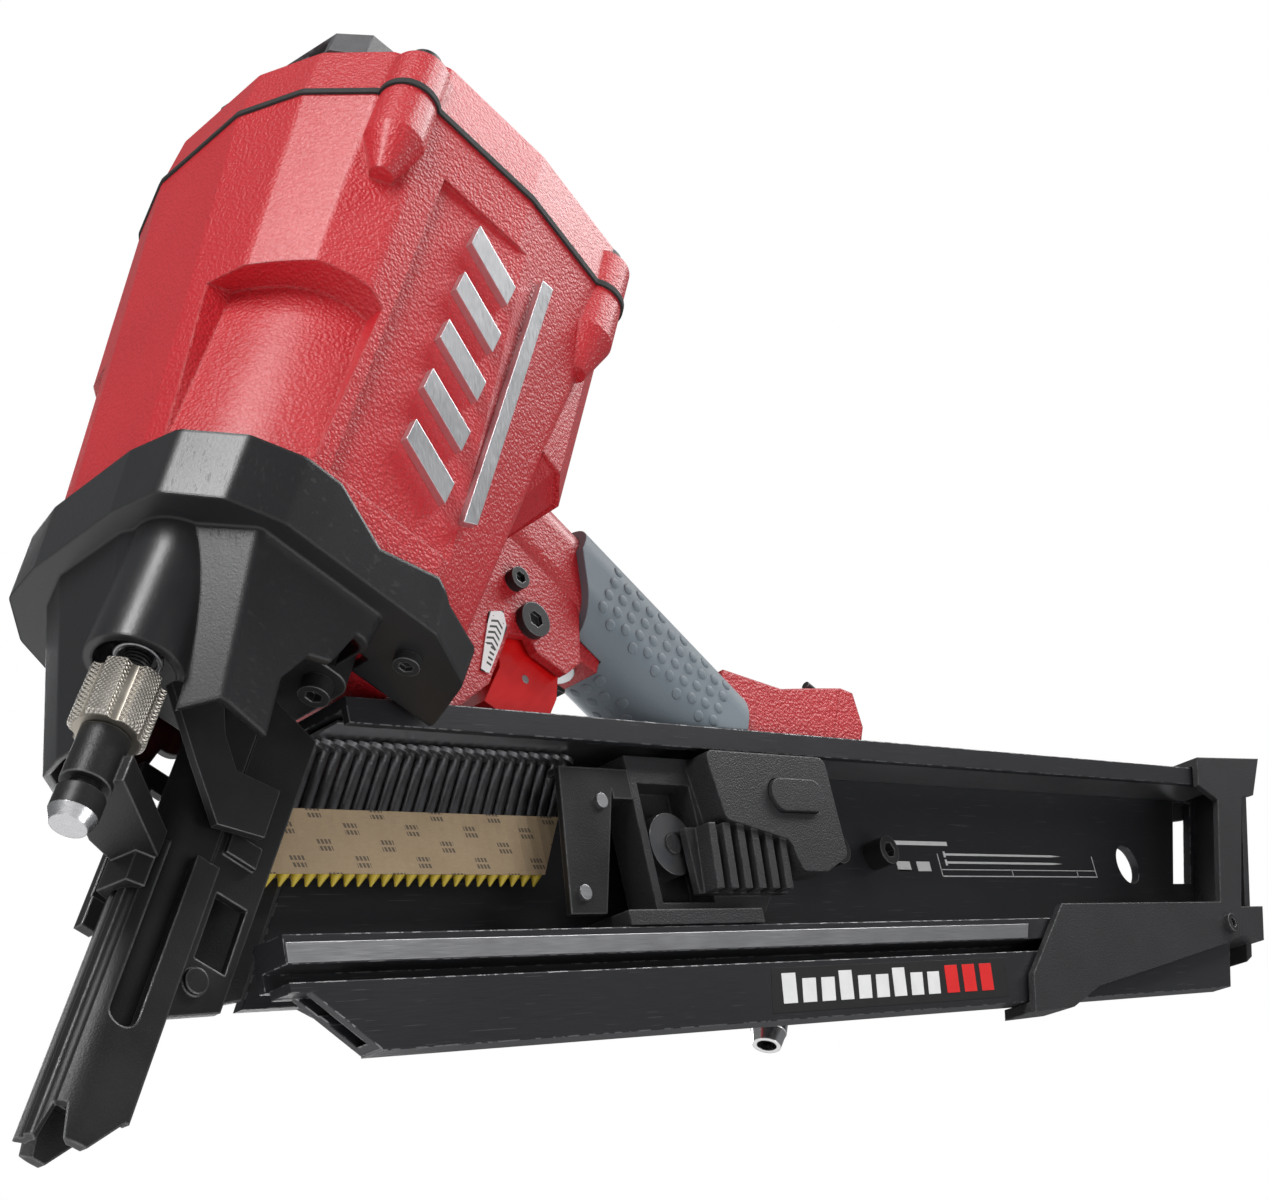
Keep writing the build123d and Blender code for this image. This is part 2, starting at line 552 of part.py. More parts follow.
def contact_foot():
    """Toothed safety foot, a round fronted channel that wraps the barrel."""
    rear = 9.0
    room = NOSE_R + GAP
    foot = round_front(FOOT_OUT_R, rear, FOOT_TIP, FOOT_TOP) - round_front(room, rear + 1, FOOT_TIP - 1,
            FOOT_TOP + 1)
    # guide slots in both side walls
    for y0 in (-FOOT_OUT_R - 1, room - 1):
        foot = foot - box(-4.5, 2.5, y0, y0 + FOOT_WALL + 2, 20, FOOT_TOP + 1)
        foot = foot - rod_y(-1.0, 20, y0, y0 + FOOT_WALL + 2, 3.5)
    # lengthwise flutes on the front
    for turn in (-32, 0, 32):
        foot = foot - Rot(0, 0, turn) * rod_z(-FOOT_OUT_R - 0.9, 0, FOOT_TIP - 1, FOOT_TOP + 1, 1.9)
    # notches between the points, and the raised rear corners
    for turn in (45, 135):
        notch = prism_y([(-3.6, FOOT_TIP - 1), (3.6, FOOT_TIP - 1), (1.6, -4), (-1.6, -4)], 3, 16)
        foot = foot - Rot(0, 0, turn) * notch
    return foot - prism_y([(1.5, FOOT_TIP - 1), (1.5, FOOT_TIP), (8, -3), (12, -3), (12, FOOT_TIP - 1)],
            -20, 20)


def contact_arm():
    """Bracket that joins the foot to the depth adjuster stud."""
    z0, z1 = BOSS_LOW + 2, BOSS_LOW + 9
    front = -FOOT_OUT_R
    arm = prism_z([(front + 3, -9.5), (front - 1, 3), (-20, 0), (STUD_X - 2, STUD_Y + 7.5),
                   (STUD_X + 5, STUD_Y - 7)], z0, z1)
    boss = rod_z(STUD_X, STUD_Y, BOSS_LOW, WHEEL_LOW - 0.3, 6.0)
    pad = prism_z([(front + 3, -8.5), (front - 1.5, -7), (front - 2.4, 4), (front + 1, 5)], 50,
            FOOT_TOP + 2)
    whole = arm + boss + pad - rod_z(0, 0, 40, 80, FOOT_OUT_R)
    return whole - rod_z(STUD_X, STUD_Y, 40, 70, STUD_R + RUNNING)


def contact_link():
    """Steel strip from the foot, past the magazine, up to the trigger rocker."""
    y0, y1 = WEB_Y + WEB_THICK + 0.6, WEB_Y + WEB_THICK + 3.2
    strip = box(-10, -5.6, y0, y1, 44, 92) + box(-10, 63, y0, y1, 86, 92) + box(59, 63, y0, y1, 86, 150)
    foot = box(-10, -5.6, FOOT_OUT_R, y1, 44, 52)
    return strip + foot + box(59, 63, -4, y1, 147, 150) + box(59, 63, -4, 4, 147, 161)


def depth_stud():
    """Threaded stud with a groove and a washer end."""
    stud = rod_z(STUD_X, STUD_Y, BOSS_LOW - 10, GUIDE_LOW + 12, STUD_R)
    return stud + rod_z(STUD_X, STUD_Y, BOSS_LOW - 8, BOSS_LOW - 2.6, 5.8) + Pos(STUD_X, STUD_Y,
            BOSS_LOW - 9.5) * Cone(4.4, 5.8, 3)


def stud_guide():
    """Bush under the casting in which the stud slides."""
    return ring_z(STUD_X, STUD_Y, GUIDE_LOW, HOUSING_BOTTOM, STUD_R + 0.3, GUIDE_R)


def depth_wheel():
    wheel = ring_z(STUD_X, STUD_Y, WHEEL_LOW, WHEEL_HIGH, STUD_R + RUNNING, WHEEL_R)
    wheel = chamfer(wheel.edges().filter_by(GeomType.CIRCLE).sort_by(Axis.Z)[0], 0.8)
    for k in range(6):
        a = math.radians(60 * k + 10)
        wheel = wheel - rod_z(STUD_X + 10.2 * math.cos(a), STUD_Y + 10.2 * math.sin(a), 60, 95, 2.6)
    return wheel


def contact_spring():
    return spring_z(STUD_X, STUD_Y, WHEEL_HIGH + 0.1, GUIDE_LOW, 5.4, 0.8, 4)


def handle_grip():
    """Soft overmoulded sleeve round the handle."""
    skin = handle_bar(CORE_W + 2 * GRIP_SKIN, CORE_H + 2 * GRIP_SKIN, 15, GRIP_START, GRIP_END)
    skin = skin - handle_bar(CORE_W, CORE_H, 12, GRIP_START - 5, GRIP_END + 5)
    front = prism_y([(60, 270), (79, 252), (80, 232), (93, 203), (98, 188), (60, 170)], -40, 40)
    rear = prism_y([(158, 260), (162, 205), (164, 150), (240, 150), (240, 260)], -40, 40)
    skin = skin - front - rear - box(STEM_X - 10.4, STEM_X + 10.4, -LUG_Y - 0.4, LUG_Y + 0.4, 150, 216)
    return skin - handle_casting() - magazine_room()


def handle_end_cap():
    """End casting that turns the air passage down beside the magazine."""
    x0 = END_CAP_X
    back = x0 + 13
    upper = prism_y([(x0, mag_z(x0, FLANGE_TOP + 1.2)), (back, mag_z(back, FLANGE_TOP + 1.2)), (back, 244),
                     (x0 + 6, 254), (x0, 252)], -CORE_W / 2, CORE_W / 2)
    side = prism_y([(x0, 222), (x0, 250), (x0 + 8, 250), (INLET_X + INLET_R, 240), (INLET_X + INLET_R, 214),
                    (INLET_X - INLET_R, 205)], WEB_Y + WEB_THICK + 6.2, INLET_Y + INLET_R)
    cap = upper + side + rod_z(INLET_X, INLET_Y, INLET_LOW, INLET_TOP, INLET_R)
    cap = cap - on_mag(box(200, 400, WEB_Y - 30, WEB_Y + WEB_THICK + 6.2, 0, FLANGE_TOP + 1.2))
    cap = cap + box(x0, back, 10, 22, mag_z(back, FLANGE_TOP + 1.2), 244)
    cap = cap - box(x0 - 1, x0 + 9, -10, 10, 232, 243)
    cap = cap - box(x0 + 4, INLET_X, 4, INLET_Y, 235, 243)
    cap = cap - rod_z(INLET_X, INLET_Y, INLET_LOW - 1, 240, 7.5)
    for s in MAG_BOLT_S:
        cap = cap - on_mag(rod_y(s, MAG_BOLT_H, 0, 24, MAG_BOLT_R))
    for y, z in END_SCREW_YZ:
        cap = cap - Pos(x0 + 10, y, z) * Rot(0, 90, 0) * Cylinder(1.8, 30)
        cap = cap - Pos(x0 + 16, y, z) * Rot(0, 90, 0) * Cylinder(3.6, 20)
    return cap


def end_cap_screws():
    one = Rot(0, 90, 0) * screw(3.2, 2.6, 1.5, 6 + 12)
    return [Pos(END_CAP_X + 6, y, z) * one for y, z in END_SCREW_YZ]


def air_plug():
    """Male quick connect plug screwed into the inlet."""
    hexagon = extrude(Pos(INLET_X, INLET_Y, INLET_LOW - 9) * RegularPolygon(PLUG_HEX, 6), amount=9)
    body = hexagon + rod_z(INLET_X, INLET_Y, INLET_LOW - 9, INLET_LOW + 12, 7.5)
    body = body + rod_z(INLET_X, INLET_Y, PLUG_TIP + 5, INLET_LOW - 8, 5.9)
    body = body + rod_z(INLET_X, INLET_Y, PLUG_TIP + 14, PLUG_TIP + 20, 6.9)
    body = body + Pos(INLET_X, INLET_Y, PLUG_TIP + 3) * Cone(4.6, 5.9, 6)
    body = body - ring_z(INLET_X, INLET_Y, PLUG_TIP + 9, PLUG_TIP + 13, 5.0, 9)
    return body - rod_z(INLET_X, INLET_Y, PLUG_TIP - 1, INLET_LOW + 13, 3.2)


def inlet_screen():
    disc = rod_z(INLET_X, INLET_Y, INLET_LOW + 12, INLET_LOW + 14, 7.5)
    for k in range(6):
        a = math.radians(60 * k)
        disc = disc - rod_z(INLET_X + 4.4 * math.cos(a), INLET_Y + 4.4 * math.sin(a), INLET_LOW,
                INLET_TOP, 1.3)
    return disc


def trigger():
    """U section lever that hangs between the lugs."""
    outer = prism_y([(69, 196), (82, 196), (84, 190), (92, 186), (94, 175), (93, 168), (87, 163.5), (76,
            158),
                     (70, 158), (72, 172), (68, 184)], -TRIGGER_Y, TRIGGER_Y)
    wall = TRIGGER_Y - TRIGGER_WALL
    inner = prism_y([(72, 200), (100, 200), (100, 179), (91, 178), (90, 169.5), (86, 166.5), (76, 161.5),
                     (73.5, 161.5), (75, 172), (71.5, 185)], -wall, wall)
    lever = outer - inner - rod_y(PIVOT_X, PIVOT_Z, -20, 20, PIN_R + RUNNING)
    return lever - rod_y(*ROCKER_XZ, -20, 20, ROCKER_PIN_R)


def trigger_pin():
    pin = rod_y(PIVOT_X, PIVOT_Z, -LUG_Y - LUG_THICK, LUG_Y + LUG_THICK, PIN_R)
    return pin


def selector_knob():
    """Round end of the mode selector, with an Allen socket."""
    knob = rod_y(PIVOT_X, PIVOT_Z, -LUG_Y - LUG_THICK - 3.0, -LUG_Y - LUG_THICK - 0.3, 5.4)
    key = Pos(PIVOT_X, -LUG_Y - LUG_THICK - 1.6, PIVOT_Z) * Rot(90, 0, 0) * extrude(RegularPolygon(2.6,
            6), amount=5)
    return knob - key


def trigger_rocker():
    """Lever in the trigger that the contact link and the valve stem share."""
    bar = prism_y([(78.5, 170), (85, 171), (91, 180.5), (99.5, 183), (99.5, 184.3), (87, 184), (78.5,
            177)], -3.2, 3.2)
    return bar - rod_y(*ROCKER_XZ, -9, 9, ROCKER_PIN_R + RUNNING)


def rocker_pin():
    return rod_y(*ROCKER_XZ, -TRIGGER_Y, TRIGGER_Y, ROCKER_PIN_R)


def valve_stem():
    return rod_z(STEM_X, 0, STEM_LOW, VALVE_LOW + 12, STEM_R)


def trigger_valve():
    body = ring_z(STEM_X, 0, VALVE_LOW - 0.3, VALVE_HIGH, STEM_R + RUNNING, VALVE_R)
    body = body - rod_z(STEM_X, 0, VALVE_LOW + 3, VALVE_HIGH - 2, 4.8)
    return body


def valve_spring():
    return spring_z(STEM_X, 0, VALVE_LOW + 12.1, VALVE_HIGH - 2.1, 3.0, 0.5, 4)


def side_screw():
    one = Rot(90, 0, 0) * screw(3.4, 3.2, 2.0, LUG_THICK)
    return Pos(SIDE_SCREW_X, -LUG_Y - LUG_THICK, SIDE_SCREW_Z) * one


def magazine_channel():
    """Aluminium extrusion: back web, top flange with lip, feed rail and hollow fin."""
    s0, s1 = MAG_START, MAG_LENGTH
    web = box(s0, s1, WEB_Y, WEB_Y + WEB_THICK, SLOT_BOTTOM, FLANGE_TOP)
    flange = box(FLANGE_START, s1, NEAR_Y, WEB_Y + 1, FLANGE_TOP - FLANGE_THICK, FLANGE_TOP)
    lip = box(FLANGE_START, s1, NEAR_Y, NEAR_Y + FIN_WALL, LIP_BOTTOM, FLANGE_TOP)
    rail = box(s0, s1, NEAR_Y, RAIL_BACK, RAIL_BOTTOM, RAIL_TOP)
    inner = box(s0, s1, RAIL_BACK - FIN_WALL, RAIL_BACK, SLOT_BOTTOM, RAIL_TOP)
    floor = box(s0, s1, FIN_BACK - FIN_WALL, WEB_Y + 1, SLOT_BOTTOM, SLOT_BOTTOM + FIN_WALL)
    fin = box(s0, s1, NEAR_Y, FIN_BACK, FIN_BOTTOM, FIN_TOP)
    fin = fin - box(s0 - 1, s1 + 1, NEAR_Y + FIN_WALL, FIN_BACK - 1.8, FIN_BOTTOM + FIN_WALL,
            FIN_TOP - FIN_WALL)
    bridge = box(s0, s1, FIN_BACK - 2, RAIL_BACK, FIN_TOP - FIN_WALL, FIN_TOP)
    channel = web + flange + lip + rail + inner + floor + fin + bridge
    nose_cut = [(0, -5), (72, -5), (72, FIN_BOTTOM + 0.5), (54, FIN_TOP - 2.5), (0, FIN_TOP - 2.5)]
    channel = channel - prism_y(nose_cut, -40, FIN_BACK + 0.1)
    channel = channel - prism_y([(0, -5), (88, -5), (88, 12), (72, FIN_TOP), (0, FIN_TOP)], FIN_BACK, 40)
    channel = channel - rod_y(HANG_HOLE_S, HANG_HOLE_H, 0, 20, HANG_HOLE_R)
    for s in MAG_BOLT_S:
        channel = channel - rod_y(s, MAG_BOLT_H, 0, 20, MAG_BOLT_R + 0.3)
    placed = on_mag(channel) - box(MAG_END_X, 600, -60, 60, 0, 600) - box(-20, 35, WEB_Y - 1, 20, 0, 200)
    placed = placed - box(RAIL_END_X, 600, -60, WEB_Y, 0, mag_z(RAIL_END_X, RAIL_TOP + 20))
    slot = [(x, mag_z(x, h)) for x, h in ((430, 52), (443, 52), (443, 88), (430, 88))]
    placed = placed - prism_y(slot, 0, 20)
    return placed - rod_y(SHOE_SCREW[0], mag_z(*SHOE_SCREW), -30, -10, 2.0)


def wear_rail():
    strip = on_mag(box(MAG_START, MAG_LENGTH, NEAR_Y - 0.8, NEAR_Y, RAIL_BOTTOM + 0.2, RAIL_TOP - 2.1))
    return strip - box(SHOE_FRONT - 1, 600, -60, 60, 0, 600)


def head_guide():
    """Thin steel strip that keeps the nail heads down."""
    strip = box(FLANGE_START + 2, MAG_LENGTH, -12, WEB_Y - 0.2, 88.8, 89.6)
    strip = strip + box(FLANGE_START + 2, MAG_LENGTH, WEB_Y - 1, WEB_Y - 0.2, 89.4, 90.4)
    return on_mag(strip) - box(MAG_END_X - 8, 600, -60, 60, 0, 600)


def magazine_bolts():
    one = Rot(90, 0, 0) * screw(5.0, 8.0, MAG_BOLT_R, 16)
    return [on_mag(Pos(s, WEB_Y, MAG_BOLT_H) * one) for s in MAG_BOLT_S]


def magazine_bracket():
    """Plate between the magazine web and the handle end casting."""
    y0 = WEB_Y + WEB_THICK
    plate = box(MAG_BOLT_S[0] - 14, MAG_BOLT_S[1] + 14, y0, y0 + 6.2, MAG_BOLT_H - 12, MAG_BOLT_H + 24)
    plate = fillet(plate.edges().filter_by(Axis.Y), 5)
    for s in MAG_BOLT_S:
        plate = plate - rod_y(s, MAG_BOLT_H, 0, 30, MAG_BOLT_R)
    return on_mag(plate) - box(150, END_CAP_X + 0.4, -40, 60, 100, 300)


def mag_plate(points, y0, y1):
    """A plate with its corners given as tool X and magazine height h."""
    return prism_y([(x, mag_z(x, h)) for x, h in points], y0, y1)


def end_bumper():
    """Plastic shoe and end post that close the magazine."""
    end = MAG_END_X + 4
    near_in, far_in = NEAR_Y - 0.9, WEB_Y + WEB_THICK + 0.2
    shoe = mag_plate([(SHOE_FRONT + 2, -1), (326, -0.5), (340, 6), (384, 13), (421, 19), (433, 22),
            (434, 36),
                      (SHOE_FRONT + 14, 36), (SHOE_FRONT, 12)], SHOE_NEAR, FIN_BACK + 1.5)
    hollow = mag_plate([(200, FIN_BOTTOM - 0.3), (RAIL_END_X + 0.3, FIN_BOTTOM - 0.3),
            (RAIL_END_X + 0.3, 40),
                        (200, 40)], near_in, FIN_BACK + 3)
    post = mag_plate([(419, 34), (433.5, 30), (437, 83), (419, 83)], SHOE_NEAR, -13.5)
    post = post - mag_plate([(400, 20), (RAIL_END_X + 0.3, 20), (RAIL_END_X + 0.3, 120), (400, 120)],
            near_in, 0)
    block = mag_plate([(405, 85), (419, 79), (end - 5, 82), (end, 99), (404, 97)], SHOE_NEAR, SHOE_FAR)
    block = block - mag_plate([(300, 60), (MAG_END_X + 0.3, 60), (MAG_END_X + 0.3, FLANGE_TOP + 0.3),
                               (300, FLANGE_TOP + 0.3)], near_in, far_in)
    wall = mag_plate([(MAG_END_X + 0.3, 13), (end, 15), (end, 96), (MAG_END_X + 0.3, 96)], -16,
            SHOE_FAR - 0.4)
    tie = mag_plate([(RAIL_END_X + 0.3, 23), (end - 0.5, 20), (end - 0.5, 34), (RAIL_END_X + 0.3, 34)],
                    SHOE_NEAR + 0.4, WEB_Y - 0.4)
    back = mag_plate([(386, 9), (end - 1, 8), (end - 1, 28), (386, 22)], far_in, SHOE_FAR)
    body = (shoe - hollow) + post + block + wall + tie + back
    x, h = SHOE_SCREW
    return body - rod_y(x, mag_z(x, h), SHOE_NEAR - 1, near_in + 1, 2.4)


def end_bumper_screw():
    x, h = SHOE_SCREW
    one = Rot(90, 0, 0) * screw(3.6, 2.4, 2.0, 5.2)
    return Pos(x, SHOE_NEAR, mag_z(x, h)) * one


def nail(x):
    tip = mag_z(x, TIP_H)
    shank = rod_z(x, 0, tip + 4, tip + NAIL_LENGTH - NAIL_HEAD_THICK, NAIL_R)
    shank = shank + Pos(x, 0, tip + 2) * Cone(0.3, NAIL_R, 4)
    head = rod_z(x, 0, tip + NAIL_LENGTH - NAIL_HEAD_THICK, tip + NAIL_LENGTH, NAIL_HEAD_R)
    clip = NAIL_PITCH * math.cos(SLOPE) - NAIL_R - 0.1
    return shank + head - box(x + clip, x + 9, -9, 9, tip + 30, tip + 60)


def nail_x(k):
    return FIRST_NAIL_X + k * NAIL_PITCH * math.cos(SLOPE)


def nails():
    return [nail(nail_x(k)) for k in range(NAIL_COUNT)]


def paper_tape():
    x0, x1 = FIRST_NAIL_X - 1.6, nail_x(NAIL_COUNT - 1) + 1.6
    points = [(x0, mag_z(x0, TAPE_LOW)), (x1, mag_z(x1, TAPE_LOW)), (x1, mag_z(x1, TAPE_HIGH)),
              (x0, mag_z(x0, TAPE_HIGH))]
    return [prism_y(points, -NAIL_R - TAPE_THICK, -NAIL_R), prism_y(points, NAIL_R, NAIL_R + TAPE_THICK)]


def pusher_plate():
    """Bent steel follower that presses on the last nail."""
    end = CARRIAGE_START
    face = prism_y([(151, 37), (165, 37), (180, 80), (158, 80)], CARRIAGE_NEAR, CARRIAGE_NEAR + 2)
    top = box(158, end, CARRIAGE_NEAR, -9, 78, 80)
    tail = box(178, end, CARRIAGE_NEAR, 4, 71, 80)
    finger = prism_y([(PUSH_X, mag_z(PUSH_X, 71)), (PUSH_X + 12, mag_z(PUSH_X + 12, 71)),
                      (PUSH_X + 12, mag_z(PUSH_X + 12, 80)), (PUSH_X, mag_z(PUSH_X, 80))], -3, 4)
    return on_mag(face + top + tail) + (finger - on_mag(box(end, end + 50, -9, 9, 30, 90)))


def pusher_rivets():
    return [on_mag(rod_y(s, h, CARRIAGE_NEAR - 0.9, CARRIAGE_NEAR, 2.2)) for s, h in ((172, 70), (157.5,
            43))]


def feeder_carriage():
    """Moulded thumb carriage that slides on the rail."""
    s0, s1 = CARRIAGE_START, CARRIAGE_END
    base = box(s0, s1, CARRIAGE_NEAR, CARRIAGE_BACK, 36, CARRIAGE_TOP)
    base = base - box(s0 + 3, s0 + 26, CARRIAGE_NEAR - 1, CARRIAGE_BACK - 2, 40, 76)
    base = base - prism_y([(228, 30), (s1 + 1, 30), (s1 + 1, 50), (246, 50)], -40, 0)
    upper = box(s0, s1, CARRIAGE_BACK - 1, WEB_Y - 0.6, 71, CARRIAGE_TOP)
    knob = prism_y([(212, 84.4), (270, 84.4), (270, 52), (258, 47), (246, 47), (243, 57), (215, 63)],
                   KNOB_NEAR, CARRIAGE_NEAR + 1)
    knob = fillet(knob.edges().filter_by(Axis.Y), 3)
    ribs = box(203, 244, CARRIAGE_NEAR - 2.5, CARRIAGE_NEAR, 42, 62)
    for k in range(6):
        s = 205 + k * 6.4
        ribs = ribs + prism_y([(s, 42), (s + 3, 42), (s + 5.5, 62), (s + 2.5, 62)], KNOB_NEAR + 1,
                CARRIAGE_NEAR)
    foot = box(168, 226, NEAR_Y - 0.4, CARRIAGE_BACK, RAIL_TOP + 0.5, 36.6)
    carriage = base + upper + knob + ribs + foot
    pocket = button_shape(0.3, KNOB_NEAR - 4, KNOB_NEAR + 5.5)
    return on_mag(carriage - pocket)


def button_shape(grow, y0, y1):
    r = 5.2 + grow
    bar = rod_y(243, 71, y0, y1, r) + rod_y(258, 71, y0, y1, r)
    return bar + box(243, 258, y0, y1, 71 - r, 71 + r)


def feeder_button():
    return on_mag(button_shape(0, KNOB_NEAR - 1.6, KNOB_NEAR + 2.0))


def button_spring():
    coil = spring_z(0, 0, 0, 1.8, 2.6, 0.4, 2)
    return on_mag(Pos(250, KNOB_NEAR + 3.65, 71) * Rot(-90, 0, 0) * coil)


def feeder_spring():
    """Flat band spring rolled in the carriage."""
    return on_mag(ring_rod(CARRIAGE_START + 14, 58, CARRIAGE_NEAR + 1, CARRIAGE_BACK - 2.4, 3.2, 9.5))


def spring_roller():
    return on_mag(rod_y(CARRIAGE_START + 14, 58, CARRIAGE_NEAR + 0.5, CARRIAGE_BACK - 2, 3.1))


def ring_rod(s, h, y0, y1, r_in, r_out):
    return rod_y(s, h, y0, y1, r_out) - rod_y(s, h, y0 - 1, y1 + 1, r_in)


def emblem():
    """Raised metal bars in the side fields: a plain pattern, no lettering."""
    y0, y1 = -FIELD_DEPTH, 1.2
    bars = [prism_y([(7, 33), (-4, 41), (-3.4, 51), (7.6, 43)], y0, y1)]
    for k in range(5):
        x = -4 - 1.2 * k
        z = 41 + 17 * k
        bars.append(prism_y([(x, z + 2), (x + 17, z - 7), (x + 17.4, z), (x + 0.4, z + 9)], y0, y1))
    bars = bars[1:] + [prism_y([(20, 33), (24, 35), (19.6, 118), (15.6, 118)], y0, y1)]
    return [on_side(bar, side) for side in (-1, 1) for bar in bars]


def trigger_label():
    y = -LUG_Y - LUG_THICK
    return prism_y([(60.5, 182), (65, 185.5), (67.8, 181), (66, 163), (63, 162)], y - 0.4, y)


def sleeve_seal():
    return ring_z(0, 0, COLLAR_Z - SEAL / 2, COLLAR_Z + SEAL / 2, SLEEVE_OUT, SLEEVE_OUT + SEAL)


def bumper():
    return ring_z(0, 0, SLEEVE_LOW, BUMPER_TOP, BLADE_HOLE_R, PISTON_R - 0.3)


PIECES = {
    "main_housing": main_housing, "cylinder_cap": cylinder_cap, "cap_gasket": cap_gasket,
    "cap_bolts": cap_bolts, "exhaust_deflector": exhaust_deflector, "deflector_screw": deflector_screw,
    "head_valve": head_valve, "head_valve_spring": head_valve_spring, "cylinder_sleeve": cylinder_sleeve,
    "piston": piston, "piston_ring": piston_ring, "driver_blade": driver_blade, "nose_body": nose_body,
    "nose_bolts": nose_bolts, "front_plate": front_plate, "nose_latch": nose_latch,
    "lower_shroud": lower_shroud, "shroud_screws": shroud_screws, "contact_foot": contact_foot,
    "contact_arm": contact_arm, "contact_link": contact_link, "depth_stud": depth_stud,
    "stud_guide": stud_guide, "depth_wheel": depth_wheel, "contact_spring": contact_spring,
    "handle_grip": handle_grip, "handle_end_cap": handle_end_cap, "end_cap_screws": end_cap_screws,
    "air_plug": air_plug, "inlet_screen": inlet_screen, "trigger": trigger, "trigger_pin": trigger_pin,
    "selector_knob": selector_knob, "trigger_rocker": trigger_rocker, "valve_stem": valve_stem,
    "trigger_valve": trigger_valve, "valve_spring": valve_spring, "side_screw": side_screw,
    "magazine_channel": magazine_channel, "wear_rail": wear_rail, "head_guide": head_guide,
    "magazine_bolts": magazine_bolts, "magazine_bracket": magazine_bracket, "end_bumper": end_bumper,
    "end_bumper_screw": end_bumper_screw, "nails": nails, "paper_tape": paper_tape,
    "pusher_plate": pusher_plate, "pusher_rivets": pusher_rivets, "feeder_carriage": feeder_carriage,
    "feeder_button": feeder_button, "button_spring": button_spring, "feeder_spring": feeder_spring,
    "spring_roller": spring_roller, "emblem": emblem, "trigger_label": trigger_label,
    "sleeve_seal": sleeve_seal, "bumper": bumper, "rocker_pin": rocker_pin,
}


for name, make in PIECES.items():
    save(make(), name)
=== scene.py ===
import math

import bmesh
import bpy
from mathutils import Matrix, Vector
from mathutils.bvhtree import BVHTree


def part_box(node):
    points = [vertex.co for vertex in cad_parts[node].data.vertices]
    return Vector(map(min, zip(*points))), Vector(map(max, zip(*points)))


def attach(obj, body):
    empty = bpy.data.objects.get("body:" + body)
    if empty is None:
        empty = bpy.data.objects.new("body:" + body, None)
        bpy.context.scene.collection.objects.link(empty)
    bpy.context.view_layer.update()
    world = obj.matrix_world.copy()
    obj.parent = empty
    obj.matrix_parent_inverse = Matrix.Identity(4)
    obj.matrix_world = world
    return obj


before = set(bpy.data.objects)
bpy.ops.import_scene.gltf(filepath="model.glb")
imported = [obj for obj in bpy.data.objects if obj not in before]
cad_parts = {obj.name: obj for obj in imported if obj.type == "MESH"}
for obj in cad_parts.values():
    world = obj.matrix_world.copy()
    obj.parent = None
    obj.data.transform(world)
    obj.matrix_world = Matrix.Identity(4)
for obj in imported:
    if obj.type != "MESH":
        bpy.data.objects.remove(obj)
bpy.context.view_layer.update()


# Body casting, cylinder cap and handle end cap.
# Three magnesium castings. They are shot-blasted, then powder coated in a red that dries
# to a fine pebbled skin, and the coat thins a little on the sharpest edges.

class Wire:
    """A socket of a finish. Ordinary arithmetic on it adds the Math nodes."""

    def __init__(self, finish, socket):
        self.finish = finish
        self.socket = socket

    def math(self, operation, first, second=0.0):
        return self.finish.node("ShaderNodeMath", {"operation": operation}, {0: first, 1: second})

    def __add__(self, other):
        return self.math("ADD", self, other)

    def __radd__(self, other):
        return self.math("ADD", other, self)

    def __sub__(self, other):
        return self.math("SUBTRACT", self, other)

    def __rsub__(self, other):
        return self.math("SUBTRACT", other, self)

    def __mul__(self, other):
        return self.math("MULTIPLY", self, other)

    def __rmul__(self, other):
        return self.math("MULTIPLY", other, self)

    def __truediv__(self, other):
        return self.math("DIVIDE", self, other)

    def __gt__(self, other):
        return self.math("GREATER_THAN", self, other)

    def __lt__(self, other):
        return self.math("LESS_THAN", self, other)

    def __abs__(self):
        return self.math("ABSOLUTE", self)

    def lowest(self, other):
        return self.math("MINIMUM", self, other)

    def zigzag(self, pitch):
        return self.math("PINGPONG", self, pitch / 2) / (pitch / 2)


